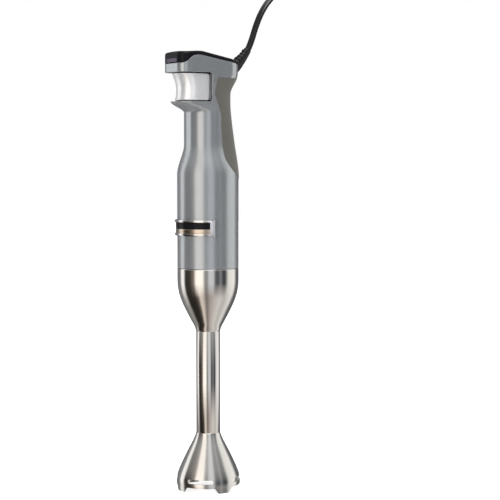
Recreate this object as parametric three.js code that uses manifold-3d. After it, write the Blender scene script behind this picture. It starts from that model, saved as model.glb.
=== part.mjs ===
// Immersion blender: a trigger handle with its motor, a twist-off stainless blending arm with a
// bell guard and a blade, and a mains cord folded into a tied hank. Millimetres, +Z up, the
// trigger faces -Y, and the origin is the centre of the object's box at the surface it stands on.
import * as THREE from 'three';
import { mergeVertices } from 'three/addons/utils/BufferGeometryUtils.js';
import Module from 'manifold-3d';

const wasm = await Module();
wasm.setup();

// ---- Driving sizes ------------------------------------------------------------------------
// Fits
const GAP = 0.3; // between pieces that touch
const RUNNING = 0.25; // radial clearance round a turning shaft
const SLIDING = 0.4; // round a trigger or button
// Blending arm, from the surface up
const BELL_HEIGHT = 54;
const BELL_RADIUS = 30.2;
const TUBE_LENGTH = 96.5;
const TUBE_RADIUS = 11.4;
const CUP_HEIGHT = 60;
const STEEL = 1.3; // sheet thickness of the arm
// Handle
const BODY_RADIUS = 29;
const BODY_HEIGHT = 88.5;
const SHOULDER_HEIGHT = 29;
const NECK_HEIGHT = 29;
const GUARD_HEIGHT = 9.8;
const BAY_HEIGHT = 26.9;
const HEAD_HEIGHT = 19.5;
const WALL = 3;
const NECK_FRONT = 21.9;
const NECK_HALF = 21;
const WAIST_REAR = 20.3;
const GUARD_REACH = 38.6;
const GUARD_NOSE = 14; // plan radius of the guard's nose
const HEAD_FRONT = 40.6;
const HEAD_REAR = 25.8;
const HEAD_HALF_FRONT = 18;
const HEAD_HALF_REAR = 21.5;
const HEAD_CORNER_FRONT = 9.5;
const HEAD_CORNER_REAR = 13;
const HEAD_SLOPE = 0.19; // fall of the head's top towards the rear, per mm
const GRIP_THICK = 1.4;
// Trigger and lock button
const TRIGGER_TRAVEL = 5;
const TRIGGER_TOP_REACH = 37;
const TRIGGER_WAIST_REACH = 32;
const TRIGGER_FOOT_REACH = 33.8;
const TRIGGER_WALL = 2;
const BAY_REAR = 8; // the bay's rear edge, in front of the shaft axis
const BUTTON_HALF = 8;
const BUTTON_TALL = 3.7;
const BUTTON_PROUD = 0.5;
const BUTTON_TRAVEL = 2;
const RELIEF_RADIUS = 5.6; // strain relief at its root
const RELIEF_TIP = 3.9;
const RELIEF_REACH = 24.2; // its tip behind the head
// Badge
const BADGE_TALL = 16;
const BADGE_SPAN = 135; // degrees of the body that it wraps
const BADGE_PROUD = 2.4;
const BADGE_BORDER = 2.2;
const BADGE_RISE = 30.5; // its lower edge above the seam
// Motor and drive
const MOTOR_AIR = 4; // between the stator and the housing
const STACK_HEIGHT = 30;
const ROTOR_RADIUS = 14;
const AIR_GAP = 0.8;
const MOTOR_SHAFT_RADIUS = 2.5;
const COMMUTATOR_RADIUS = 8.5;
const FAN_RADIUS = 20;
const DRIVE_RADIUS = 4;
const LUG_COUNT = 3;
const TWIST = 40; // degrees from locked to released
const LUG_SPAN = 20; // degrees
// Bell guard and blade
const FOOT_COUNT = 4;
const FOOT_SPAN = 29; // degrees
const BELL_TURN = -5.5; // degrees from the front to the first foot
const ARCH_RISE = 5.2;
const SLOT_SPAN = 48; // degrees
const SLOT_LOW = 8.9;
const SLOT_HIGH = 12.9;
const BLADE_RADIUS = 20.5;
const BLADE_THICK = 1.5;
const BLADE_Z = 9.4;
// Cord
const CORD_RADIUS = 3;
const HANK_NEAR = 32; // from the shaft axis to the hank's near end
const HANK_LONG = 90;
const HANK_HALF = 21;
const HANK_TALL = 15;
const HANK_LIFT = 0.9; // the tie's strip runs under it
const CORD_AWAY = 55; // degrees: the hank's line, turned from the rear towards -X

// ---- Levels and radii worked out from them --------------------------------------------------
const TUBE_TOP = BELL_HEIGHT + TUBE_LENGTH;
const SEAM = TUBE_TOP + CUP_HEIGHT;
const SHOULDER = SEAM + BODY_HEIGHT;
const NECK = SHOULDER + SHOULDER_HEIGHT;
const GUARD = NECK + NECK_HEIGHT;
const BAY = GUARD + GUARD_HEIGHT;
const HEAD = BAY + BAY_HEIGHT;
const TOP = HEAD + HEAD_HEIGHT;
const FLARE = BAY + 0.27 * BAY_HEIGHT; // where the rear starts to widen into the head
const BORE = BODY_RADIUS - WALL; // inside radius of the body
const AXIS_Y = (HEAD_FRONT + BUTTON_PROUD - HEAD_REAR - RELIEF_REACH) / 2; // shaft axis in the part's frame
const ROUND = 28; // sides of a lofted or turned shell
const SMALL = 20; // sides of a small turned piece

// ---- Materials ------------------------------------------------------------------------------
const finish = (color, roughness, metalness) =>
  new THREE.MeshStandardMaterial({ color, roughness, metalness });
const PAINT = finish(0x8d9196, 0.34, 0.75);
const STAINLESS = finish(0xb9b4ad, 0.3, 1);
const CHROME = finish(0xd2d4d8, 0.16, 1);
const BLACK_GLOSS = finish(0x17171a, 0.25, 0);
const SOFT_GREY = finish(0x625f57, 0.75, 0);
const CHAMPAGNE = finish(0xb6a58f, 0.3, 1);
const SMOKE = finish(0x3a3540, 0.3, 0);
const RUBBER = finish(0x141414, 0.6, 0);
const INNER_PLASTIC = finish(0x2b2c2e, 0.55, 0);
const LAMINATION = finish(0x55585c, 0.5, 0.9);
const COPPER = finish(0xa8622f, 0.4, 1);
const BRASS = finish(0xb58f45, 0.35, 1);
const CARBON = finish(0x1f1f20, 0.8, 0);
const STEEL_ROD = finish(0x9fa3a8, 0.25, 1);
const BOARD = finish(0x1f5a34, 0.5, 0);
const SPRING_STEEL = finish(0x8f9296, 0.3, 1);

// ---- Shapes ---------------------------------------------------------------------------------
const radians = THREE.MathUtils.degToRad;
const mix = (a, b, t) => a + (b - a) * t;
const clamp01 = (t) => Math.min(1, Math.max(0, t));
const smooth = (t) => clamp01(t) ** 2 * (3 - 2 * clamp01(t));

// A closed mesh as a solid: shared points merged, empty triangles dropped, faces pointing out.
function solid(geometry) {
  const bare = geometry.index ? geometry.toNonIndexed() : geometry.clone();
  bare.deleteAttribute('normal');
  bare.deleteAttribute('uv');
  const merged = mergeVertices(bare);
  const place = merged.attributes.position;
  const corner = (i) => new THREE.Vector3().fromBufferAttribute(place, i);
  const faces = [];
  let volume = 0;
  for (let i = 0; i < merged.index.count; i += 3) {
    const [a, b, c] = [0, 1, 2].map((k) => merged.index.getX(i + k));
    if (a !== b && b !== c && c !== a) {
      faces.push([a, b, c]);
      volume += corner(a).dot(corner(b).cross(corner(c)));
    }
  }
  const outward = volume < 0 ? faces.map(([a, b, c]) => [a, c, b]) : faces;
  return new wasm.Manifold(
    new wasm.Mesh({
      numProp: 3,
      vertProperties: new Float32Array(place.array),
      triVerts: new Uint32Array(outward.flat()),
    }),
  );
}

function geometryOf(body) {
  const mesh = body.getMesh();
  const geometry = new THREE.BufferGeometry();
  geometry.setAttribute('position', new THREE.BufferAttribute(mesh.vertProperties, 3));
  geometry.setIndex(new THREE.BufferAttribute(mesh.triVerts, 1));
  geometry.computeVertexNormals();
  return geometry;
}

const without = (body, ...cuts) => cuts.reduce((left, cut) => left.subtract(cut), body);
const joined = (body, ...more) => more.reduce((sum, one) => sum.add(one), body);

// A profile of [radius, height] points turned about the shaft axis.
function turned(profile, sides = ROUND) {
  const points = profile.map(([r, z]) => new THREE.Vector2(r, z));
  const geometry = new THREE.LatheGeometry([...points, points[0].clone()], sides);
  return solid(geometry.rotateX(Math.PI / 2));
}

const ring = (outer, inner, low, high, sides = ROUND) =>
  turned([[inner, low], [outer, low], [outer, high], [inner, high]], sides);
const disc = (radius, low, high, sides = SMALL) =>
  turned([[0, low], [radius, low], [radius, high], [0, high]], sides);

function block(x0, x1, y0, y1, z0, z1) {
  const geometry = new THREE.BoxGeometry(x1 - x0, y1 - y0, z1 - z0);
  return solid(geometry.translate((x0 + x1) / 2, (y0 + y1) / 2, (z0 + z1) / 2));
}

const outline = (points) => new THREE.Shape(points.map(([a, b]) => new THREE.Vector2(a, b)));

// An outline in the XY plane, raised from low to high.
function raised(shape, low, high, curveSegments = 6) {
  const options = { depth: high - low, bevelEnabled: false, curveSegments };
  return solid(new THREE.ExtrudeGeometry(shape, options).translate(0, 0, low));
}

// A side outline of [y, z] points, running from -halfWidth to +halfWidth in X.
function sideways(shape, halfWidth, curveSegments = 6) {
  const options = { depth: 2 * halfWidth, bevelEnabled: false, curveSegments };
  const geometry = new THREE.ExtrudeGeometry(shape, options).translate(0, 0, -halfWidth);
  const turn = new THREE.Matrix4().set(0, 0, 1, 0, 1, 0, 0, 0, 0, 1, 0, 0, 0, 0, 0, 1);
  return solid(geometry.applyMatrix4(turn));
}

// A sector of a ring, between two angles in degrees measured from the front towards +X.
function sector(outer, inner, from, to, low, high) {
  const [a, b] = [radians(from - 90), radians(to - 90)];
  const shape = new THREE.Shape();
  shape.absarc(0, 0, outer, a, b, false);
  shape.absarc(0, 0, inner, b, a, true);
  shape.closePath();
  return raised(shape, low, high, Math.max(4, Math.ceil((to - from) / 9)));
}

// A plan section: the hull of two front and two rear corner circles.
function planPoints(section) {
  const { front, rear, halfFront, halfRear, cornerFront, cornerRear } = section;
  return Array.from({ length: ROUND }, (_, k) => {
    const angle = -Math.PI / 2 + (2 * Math.PI * (k + 0.5)) / ROUND;
    const [nx, ny] = [Math.cos(angle), Math.sin(angle)];
    const corners = [
      [halfFront - cornerFront, cornerFront - front, cornerFront],
      [halfRear - cornerRear, rear - cornerRear, cornerRear],
    ];
    const reach = corners.map(([x, y, r]) => x * Math.abs(nx) + y * ny + r);
    const [x, y, r] = corners[reach[0] > reach[1] ? 0 : 1];
    return [Math.sign(nx) * x + r * nx, y + r * ny];
  });
}

// A closed shell through plan sections, each with its height z.
function loft(sections) {
  const corners = [];
  for (const section of sections) {
    for (const [x, y] of planPoints(section)) corners.push(x, y, section.z);
  }
  const faces = [];
  for (let level = 0; level + 1 < sections.length; level += 1) {
    for (let k = 0; k < ROUND; k += 1) {
      const [a, b] = [level * ROUND + k, level * ROUND + ((k + 1) % ROUND)];
      faces.push(a, b, b + ROUND, a, b + ROUND, a + ROUND);
    }
  }
  const last = (sections.length - 1) * ROUND;
  for (let k = 1; k + 1 < ROUND; k += 1) {
    faces.push(0, k + 1, k, last, last + k, last + k + 1);
  }
  const geometry = new THREE.BufferGeometry();
  geometry.setAttribute('position', new THREE.Float32BufferAttribute(corners, 3));
  geometry.setIndex(faces);
  return solid(geometry);
}

const round = (z, radius) => ({
  z,
  front: radius,
  rear: radius,
  halfFront: radius,
  halfRear: radius,
  cornerFront: radius,
  cornerRear: radius,
});

const inset = (section, by) => ({
  z: section.z,
  front: section.front - by,
  rear: section.rear - by,
  halfFront: section.halfFront - by,
  halfRear: section.halfRear - by,
  cornerFront: Math.max(1, section.cornerFront - by),
  cornerRear: Math.max(1, section.cornerRear - by),
});

// ---- The assembly ---------------------------------------------------------------------------
const blender = new THREE.Group();
blender.name = 'immersion_blender';
const handle = new THREE.Group(); // about the shaft axis, as every piece below is
handle.position.y = AXIS_Y;
blender.add(handle);

function place(name, body, material) {
  const mesh = new THREE.Mesh(geometryOf(body), material);
  mesh.name = name;
  handle.add(mesh);
  return body;
}

// ---- Handle shell ---------------------------------------------------------------------------
// The plan section of the handle's outside at a height.
function handleSection(z) {
  const towardNeck = (end) => clamp01((z - SHOULDER) / (end - SHOULDER));
  const slim = smooth(towardNeck(NECK));
  const toWaist = towardNeck(GUARD + 0.7 * GUARD_HEIGHT);
  const back = (smooth(toWaist) + toWaist) / 2;
  const guard = smooth((z - GUARD) / GUARD_HEIGHT);
  const head = smooth((z - FLARE) / (HEAD - FLARE));
  const front = mix(mix(BODY_RADIUS, NECK_FRONT, slim), GUARD_REACH, guard);
  const rear = mix(mix(BODY_RADIUS, WAIST_REAR, back), HEAD_REAR, head);
  const half = mix(BODY_RADIUS, NECK_HALF, slim);
  const neckCorner = mix(BODY_RADIUS, Math.min(NECK_HALF, WAIST_REAR) - 1, slim);
  return {
    z,
    front: mix(front, HEAD_FRONT, head),
    rear,
    halfFront: mix(mix(half, GUARD_NOSE + 1, guard), HEAD_HALF_FRONT, head),
    halfRear: mix(half, HEAD_HALF_REAR, head),
    cornerFront: mix(mix(neckCorner, GUARD_NOSE, guard), HEAD_CORNER_FRONT, head),
    cornerRear: mix(neckCorner, HEAD_CORNER_REAR, head),
  };
}

const steps = (low, high, count) =>
  Array.from({ length: count }, (_, k) => mix(low, high, (k + 1) / count));
const handleLevels = [
  SEAM + GAP,
  SHOULDER,
  ...steps(SHOULDER, NECK, 5),
  ...steps(NECK, GUARD, 2),
  ...steps(GUARD, BAY, 4),
  FLARE,
  ...steps(FLARE, HEAD, 4),
];
const headEdge = [[2.2, 0], [0.9, 0.8], [0.9, 2.2]]; // [drop, inset] pairs round the top edge
const headSections = [];
let drop = headEdge.reduce((sum, [fall]) => sum + fall, 0);
for (const [fall, inward] of headEdge) {
  drop -= fall;
  headSections.push(inset({ ...handleSection(HEAD), z: TOP - drop }, inward));
}
headSections.unshift({ ...handleSection(HEAD), z: TOP - 4 });
const shellOutside = (by) =>
  loft([...handleLevels.map(handleSection), ...headSections].map((one) => inset(one, by)));

// The hollow follows the outside a wall's thickness in, and keeps to the neck below the head.
function hollowSection(z) {
  const section = inset(handleSection(z), WALL);
  const neckHalf = Math.min(section.halfRear, NECK_HALF - WALL);
  if (z <= NECK) return section;
  return {
    ...section,
    front: NECK_FRONT - WALL,
    halfFront: neckHalf,
    halfRear: neckHalf,
    cornerFront: Math.min(section.cornerRear, neckHalf),
    cornerRear: Math.min(section.cornerRear, neckHalf),
  };
}
// Across the bay it has flat sides, which guide the trigger.
const TRIGGER_HALF = NECK_HALF - WALL - 2 * SLIDING;
const bayHollow = (z) => ({
  ...hollowSection(z),
  front: BAY_REAR + 4,
  halfFront: TRIGGER_HALF + SLIDING,
  halfRear: TRIGGER_HALF + SLIDING,
  cornerFront: 1,
});
const bodyHollow = loft([
  inset({ ...handleSection(SEAM), z: SEAM - 5 }, WALL),
  ...handleLevels.slice(1, 9).map(hollowSection),
  hollowSection(BAY - GAP),
  bayHollow(BAY),
  bayHollow(FLARE),
  bayHollow(mix(FLARE, HEAD, 0.5)),
  bayHollow(HEAD),
  bayHollow(HEAD + WALL + 1),
]);
const headHollow = loft([
  inset({ ...handleSection(HEAD), z: HEAD + WALL }, WALL),
  inset({ ...handleSection(HEAD), z: TOP + 5 }, WALL),
]);

// Side outlines of the head: the top, and the seam between the shell and the black cover.
const topLine = (y, lowered = 0) => TOP - lowered - Math.max(0, (y + 18) * HEAD_SLOPE);
const NOSE_SEAM = TOP - 11.6; // the cover's lower edge at the nose
const coverSeam = (above) => {
  const far = HEAD_FRONT + 20;
  const [sweepEnd, roofStart] = [-24, -20]; // where the seam has risen, and starts to fall
  const sweep = new THREE.Shape();
  sweep.moveTo(-far, NOSE_SEAM + above);
  sweep.lineTo(-HEAD_FRONT + 1, NOSE_SEAM + above);
  const [low, high] = [NOSE_SEAM + above, TOP - 3.8 + above];
  sweep.bezierCurveTo(-HEAD_FRONT + 7, low, sweepEnd - 7, high - 0.2, sweepEnd, high);
  sweep.lineTo(roofStart, high);
  sweep.lineTo(far, topLine(far, 3) + above);
  return sweep;
};
const upTo = (shape, z) => {
  shape.lineTo(HEAD_FRONT + 20, z);
  shape.lineTo(-HEAD_FRONT - 20, z);
  return shape;
};
const overTop = sideways(
  outline([[-18, topLine(-18)], [60, topLine(60)], [60, TOP + 30], [-18, TOP + 30]]),
  40,
);
const aboveSeam = sideways(upTo(coverSeam(0), TOP + 20), 40);
const aboveCoverEdge = sideways(upTo(coverSeam(GAP), TOP + 20), 40);

// The trigger's bay: open to the front, with round rear corners.
function baySide(grow) {
  const [front, rear] = [-HEAD_FRONT - 10, -BAY_REAR + grow];
  const [low, high] = [BAY, HEAD];
  const corner = 3;
  const shape = new THREE.Shape();
  shape.moveTo(front, low);
  shape.lineTo(rear - corner, low);
  shape.quadraticCurveTo(rear, low, rear, low + corner);
  shape.lineTo(rear, high - corner);
  shape.quadraticCurveTo(rear, high, rear - corner, high);
  shape.lineTo(front, high);
  return shape;
}

// The rear grip's side outline; shrink pulls its edge back from the shell's recess.
function gripSide(shrink) {
  const edge = [
    [-2 + shrink, HEAD - 4.8 - shrink],
    [-4.2 + shrink, HEAD - 12],
    [-5.7 + shrink, FLARE],
    [-3 + shrink, BAY - 1],
    [0.5 + shrink, GUARD - 1],
    [1 + shrink, NECK + 14],
    [2.4 + shrink, NECK - 2],
    [3 + shrink, SHOULDER + 14],
    [8 + shrink, SHOULDER + 6 + shrink],
    [22, SHOULDER - 4 + shrink],
    [60, SHOULDER - 8 + shrink],
    [60, HEAD - 4.8 - shrink],
  ];
  return outline(edge);
}
const wholeShell = without(shellOutside(0), overTop);
const gripRecess = without(sideways(gripSide(0), 40), shellOutside(GRIP_THICK));

// A rod along Y at a height, between two reaches.
function rodY(radius, y0, y1, z, x = 0, sides = SMALL) {
  const geometry = new THREE.CylinderGeometry(radius, radius, y1 - y0, sides);
  return solid(geometry.translate(x, (y0 + y1) / 2, z));
}
const RELIEF_Z = HEAD + 5.6; // height at which the cord leaves the head
const reliefHole = rodY(RELIEF_RADIUS + GAP, HEAD_REAR - 9, HEAD_REAR + 5, RELIEF_Z);
place(
  'main_housing',
  without(
    wholeShell,
    aboveSeam,
    bodyHollow,
    headHollow,
    gripRecess,
    sideways(baySide(0), 40),
    reliefHole,
  ),
  PAINT,
);
place(
  'rear_grip',
  without(
    wholeShell.intersect(sideways(gripSide(GAP), 40)),
    shellOutside(GRIP_THICK - GAP),
  ),
  SOFT_GREY,
);

// Black top cover with the nose, and the seat that the lock button's spring pushes against.
const BUTTON_LOW = NOSE_SEAM + 1;
const buttonHole = block(
  -BUTTON_HALF - SLIDING,
  BUTTON_HALF + SLIDING,
  -HEAD_FRONT - 5,
  -HEAD_FRONT + WALL + 1,
  BUTTON_LOW - SLIDING,
  BUTTON_LOW + BUTTON_TALL + SLIDING,
);
const ROOF = 2.5;
const overRoof = sideways(
  outline([[-70, TOP - ROOF], [-18, TOP - ROOF], [60, topLine(60, ROOF)], [60, TOP + 30], [-70, TOP + 30]]),
  40,
);
const SEAT_Y = -HEAD_FRONT + 12;
place(
  'top_cover',
  joined(
    without(wholeShell.intersect(aboveCoverEdge), headHollow.subtract(overRoof), buttonHole, reliefHole),
    block(-4, 4, SEAT_Y, SEAT_Y + 1.5, BUTTON_LOW - 1, TOP - ROOF / 2),
  ),
  BLACK_GLOSS,
);

// Badge on the front of the body: a frame with two plain inlays.
const BADGE_LOW = SEAM + BADGE_RISE;
const BADGE_BACK = BODY_RADIUS + 1.2;
const badgeBand = (from, to, low, high, inner, outer) =>
  sector(outer, inner, from, to, BADGE_LOW + low, BADGE_LOW + high);
const badgeEnd = BADGE_SPAN / 2;
const windowEnd = badgeEnd - 6;
const FIELD_LOW = 0.44 * BADGE_TALL; // where the dark field meets the lower strip
place(
  'badge_frame',
  without(
    badgeBand(-badgeEnd, badgeEnd, 0, BADGE_TALL, BODY_RADIUS + GAP, BODY_RADIUS + BADGE_PROUD),
    badgeBand(-windowEnd, windowEnd, BADGE_BORDER, BADGE_TALL - BADGE_BORDER, BADGE_BACK, BODY_RADIUS + 9),
  ),
  CHROME,
);
const inlay = (low, high) =>
  badgeBand(GAP - windowEnd, windowEnd - GAP, low, high, BADGE_BACK + GAP, BODY_RADIUS + BADGE_PROUD - 0.5);
place('badge_field', inlay(FIELD_LOW + GAP, BADGE_TALL - BADGE_BORDER - GAP), BLACK_GLOSS);
place('badge_strip', inlay(BADGE_BORDER + GAP, FIELD_LOW), CHAMPAGNE);

// ---- Trigger and lock button ----------------------------------------------------------------
const TRIGGER_GAP = 1; // above the guard and below the head
const [TRIGGER_LOW, TRIGGER_HIGH] = [BAY + TRIGGER_GAP, HEAD - TRIGGER_GAP];
const TRIGGER_SKIRT = BAY_REAR - TRIGGER_TRAVEL; // its hidden rear edge, in front of the axis
const WAIST_AT = 0.42; // share of the trigger's height where it is shallowest
const triggerSection = (z) => {
  const t = (z - TRIGGER_LOW) / (TRIGGER_HIGH - TRIGGER_LOW);
  const end = t < WAIST_AT ? TRIGGER_FOOT_REACH : TRIGGER_TOP_REACH;
  const away = t < WAIST_AT ? (WAIST_AT - t) / WAIST_AT : (t - WAIST_AT) / (1 - WAIST_AT);
  return {
    z,
    front: mix(TRIGGER_WAIST_REACH, end, away ** 1.8),
    rear: -TRIGGER_SKIRT,
    halfFront: GUARD_NOSE + 1,
    halfRear: TRIGGER_HALF,
    cornerFront: GUARD_NOSE,
    cornerRear: 1.5,
  };
};
const triggerLevels = [TRIGGER_LOW, ...steps(TRIGGER_LOW, TRIGGER_HIGH, 6)];
const triggerInside = (z) => ({ ...inset(triggerSection(z), TRIGGER_WALL), rear: BAY_REAR });
place(
  'trigger_shell',
  without(
    loft(triggerLevels.map(triggerSection)),
    loft([
      triggerInside(TRIGGER_LOW + TRIGGER_WALL),
      triggerInside(mix(TRIGGER_LOW, TRIGGER_HIGH, WAIST_AT)),
      triggerInside(TRIGGER_HIGH - TRIGGER_WALL),
    ]),
  ),
  CHROME,
);
const PLUNGER_Z = mix(BAY, HEAD, WAIST_AT);
const PLUNGER_RADIUS = 2.2;
const SPRING_RADIUS = 3.4;
const SWITCH_FRONT = TRIGGER_TRAVEL - 0.5;
const SWITCH_REAR = WAIST_REAR - WALL - 1.8;
const PLUNGER_END = SWITCH_REAR - TRIGGER_TRAVEL - 3.5;
const COLLAR_Y = -TRIGGER_SKIRT; // rear of the plunger's collar, which the spring pushes on
const COLLAR_THICK = 1.2;
const SWITCH_HALF = 7;
const SWITCH_HALF_TALL = 8;
place(
  'trigger_plunger',
  joined(
    rodY(PLUNGER_RADIUS, -TRIGGER_WAIST_REACH + TRIGGER_WALL + 1, PLUNGER_END, PLUNGER_Z, 0, 12),
    rodY(SPRING_RADIUS + 0.6, COLLAR_Y - COLLAR_THICK, COLLAR_Y, PLUNGER_Z, 0, 12),
  ),
  INNER_PLASTIC,
);
place(
  'trigger_spring',
  rodY(SPRING_RADIUS, COLLAR_Y + GAP, PLUNGER_END - 0.5, PLUNGER_Z, 0, 12).subtract(
    rodY(PLUNGER_RADIUS + GAP, COLLAR_Y, PLUNGER_END, PLUNGER_Z, 0, 12),
  ),
  SPRING_STEEL,
);
place(
  'trigger_switch',
  block(
    -SWITCH_HALF,
    SWITCH_HALF,
    SWITCH_FRONT,
    SWITCH_REAR,
    PLUNGER_Z - SWITCH_HALF_TALL,
    PLUNGER_Z + SWITCH_HALF_TALL,
  ).subtract(
    rodY(SPRING_RADIUS + SLIDING, SWITCH_FRONT - 1, SWITCH_REAR - 2, PLUNGER_Z, 0, 12),
  ),
  INNER_PLASTIC,
);
const BUTTON_BACK = -HEAD_FRONT + 5;
const BUTTON_Z = BUTTON_LOW + BUTTON_TALL / 2;
place(
  'lock_button',
  block(
    -BUTTON_HALF,
    BUTTON_HALF,
    -HEAD_FRONT - BUTTON_PROUD,
    BUTTON_BACK,
    BUTTON_LOW,
    BUTTON_LOW + BUTTON_TALL,
  ),
  SMOKE,
);
const BUTTON_SPRING = 1.7;
place(
  'button_spring',
  rodY(BUTTON_SPRING, BUTTON_BACK + GAP, SEAT_Y - BUTTON_TRAVEL - GAP, BUTTON_Z, 0, 10).subtract(
    rodY(BUTTON_SPRING - 0.6, BUTTON_BACK, SEAT_Y, BUTTON_Z, 0, 10),
  ),
  SPRING_STEEL,
);

// ---- Motor ----------------------------------------------------------------------------------
const above = (z) => SEAM + z;
const shaftHole = disc(MOTOR_SHAFT_RADIUS + GAP, SEAM - 10, SHOULDER + 20, 12);
const STACK = above(34);
const STACK_TOP = STACK + STACK_HEIGHT;
const STATOR_RADIUS = BORE - MOTOR_AIR;
const BRACKET_LOW = above(14.5);
const BRACKET_TOP = STACK_TOP + 17;
const WINDING_TALL = 3.5;
const WINDING_BORE = 4;
place('motor_shaft', disc(MOTOR_SHAFT_RADIUS, BRACKET_LOW - 1, BRACKET_TOP + 4, 12), STEEL_ROD);
place('armature_core', disc(ROTOR_RADIUS, STACK, STACK_TOP).subtract(shaftHole), LAMINATION);
const winding = (low, high) => ring(ROTOR_RADIUS - 2, WINDING_BORE, low, high, SMALL);
place('armature_winding_lower', winding(STACK - WINDING_TALL, STACK - GAP), COPPER);
place('armature_winding_upper', winding(STACK_TOP + GAP, STACK_TOP + WINDING_TALL), COPPER);
const COMMUTATOR = STACK_TOP + 5;
const COMMUTATOR_TALL = 9;
place(
  'commutator',
  disc(COMMUTATOR_RADIUS, COMMUTATOR, COMMUTATOR + COMMUTATOR_TALL).subtract(shaftHole),
  COPPER,
);
const FAN = above(21);
const FAN_TALL = 8;
const FAN_BLADES = 9;
const FAN_HUB = 6;
const fanBlade = block(MOTOR_SHAFT_RADIUS + 2, FAN_RADIUS - 0.5, -0.7, 0.7, FAN + 0.5, FAN + FAN_TALL);
const fanBlades = Array.from({ length: FAN_BLADES }, (_, k) =>
  fanBlade.rotate([0, 0, (360 / FAN_BLADES) * k]),
);
place(
  'cooling_fan',
  joined(
    disc(FAN_RADIUS, FAN, FAN + 1.2),
    disc(FAN_HUB, FAN, FAN + FAN_TALL, 12),
    ...fanBlades,
  ).subtract(shaftHole),
  INNER_PLASTIC,
);
// Each field coil is a loop wound round one pole of the stator.
const POLE = 32; // half angle of a pole, degrees
const COIL = 50; // half angle of a coil, degrees
const COIL_END = 4; // the coil's reach past each end of the stack
const coilOuter = STATOR_RADIUS - 2.6;
const coilInner = ROTOR_RADIUS + AIR_GAP + 0.8;
const coil = (middle) =>
  sector(coilOuter, coilInner, middle - COIL, middle + COIL, STACK - COIL_END, STACK_TOP + COIL_END).subtract(
    sector(BODY_RADIUS, 8, middle - POLE, middle + POLE, STACK - GAP, STACK_TOP + GAP),
  );
const stator = joined(
  without(
    ring(STATOR_RADIUS, ROTOR_RADIUS + AIR_GAP, STACK, STACK_TOP),
    ...[90, -90].map((middle) =>
      sector(coilOuter + GAP, 8, middle - COIL - 1.5, middle + COIL + 1.5, STACK - 1, STACK_TOP + 1),
    ),
  ),
  ...[90, -90].map((middle) =>
    sector(
      STATOR_RADIUS - 1,
      ROTOR_RADIUS + AIR_GAP,
      middle - POLE + 1.5,
      middle + POLE - 1.5,
      STACK,
      STACK_TOP,
    ),
  ),
);
place('motor_stator', stator, LAMINATION);
place('field_coil_right', coil(90), COPPER);
place('field_coil_left', coil(-90), COPPER);
const BUSH_RADIUS = 6;
const BUSH_TALL = 5.5;
const BRACKET_THICK = 3;
const bracket = (low) =>
  disc(BORE - GAP, low, low + BRACKET_THICK, ROUND).subtract(
    disc(BUSH_RADIUS + GAP, low - 1, low + BRACKET_THICK + 1),
  );
const bush = (low) => ring(BUSH_RADIUS, MOTOR_SHAFT_RADIUS + RUNNING, low, low + BUSH_TALL, 16);
place('lower_bracket', bracket(BRACKET_LOW), INNER_PLASTIC);
place('upper_bracket', bracket(BRACKET_TOP), INNER_PLASTIC);
place('lower_motor_bushing', bush(BRACKET_LOW - 0.5), BRASS);
place('upper_motor_bushing', bush(BRACKET_TOP - 1.5), BRASS);
for (const [side, sign] of [['right', 1], ['left', -1]]) {
  const along = (near, far, half, low, high) => {
    const ends = [sign * near, sign * far].sort((a, b) => a - b);
    return block(...ends, -half, half, COMMUTATOR + low, COMMUTATOR + high);
  };
  const start = COMMUTATOR_RADIUS + GAP;
  place(
    `brush_holder_${side}`,
    along(start + 1.5, BORE - 4, 4, 1, 8).subtract(along(start, start + 9, 2.8, 2.2, 6.8)),
    BRASS,
  );
  place(`carbon_brush_${side}`, along(start, start + 7, 2.5, 2.5, 6.5), CARBON);
}
place('control_board', block(-12, 12, 8, 9.6, NECK - 6, GUARD - 5), BOARD);
place('suppressor_capacitor', block(-6, 6, 0.5, 7.7, NECK - 2, NECK + 12), INNER_PLASTIC);

// ---- Bayonet joint and drive ----------------------------------------------------------------
const SOCKET_BORE = BORE - 6;
const SLEEVE = SOCKET_BORE - SLIDING;
const [LUG_LOW, LUG_HIGH] = [above(4), above(8)];
const turnStep = 360 / LUG_COUNT;
const lugMiddles = Array.from({ length: LUG_COUNT }, (_, k) => 30 + k * turnStep);
const LUG_REACH = 3;
const lugs = lugMiddles.map((middle) =>
  sector(SLEEVE + LUG_REACH, SLEEVE - 1, middle - LUG_SPAN / 2, middle + LUG_SPAN / 2, LUG_LOW, LUG_HIGH),
);
const lugWays = lugMiddles.flatMap((middle) => {
  const [start, end] = [middle - LUG_SPAN / 2 - 2, middle + LUG_SPAN / 2 + TWIST + 2];
  const reach = SLEEVE + LUG_REACH + SLIDING;
  return [
    sector(reach, SLEEVE - 2, start, end, LUG_LOW - SLIDING, LUG_HIGH + SLIDING),
    sector(reach, SLEEVE - 2, end - LUG_SPAN - 4, end, SEAM - 1, LUG_HIGH),
  ];
});
place(
  'nose_socket',
  without(ring(BORE - GAP, SOCKET_BORE, above(1), above(12.5)), ...lugWays),
  INNER_PLASTIC,
);
const CUP_BORE = BODY_RADIUS - STEEL;
const BUSH_HOLE = 9;
place(
  'arm_collar',
  joined(
    turned([
      [BUSH_HOLE, above(-12)],
      [CUP_BORE - GAP, above(-12)],
      [CUP_BORE - GAP, above(-0.5)],
      [SLEEVE, above(-0.5)],
      [SLEEVE, above(10)],
      [SLEEVE - 3, above(10)],
      [SLEEVE - 3, above(-5)],
      [BUSH_HOLE, above(-5)],
    ]),
    ...lugs,
  ),
  INNER_PLASTIC,
);
place('upper_arm_bushing', ring(BUSH_HOLE - GAP, DRIVE_RADIUS + RUNNING, above(-12), above(-5.5), 16), BRASS);
const hexRadius = 4.5;
place(
  'drive_coupling',
  joined(disc(7, above(7), above(13)), disc(hexRadius, above(-1), above(8), 6)),
  INNER_PLASTIC,
);
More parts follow.
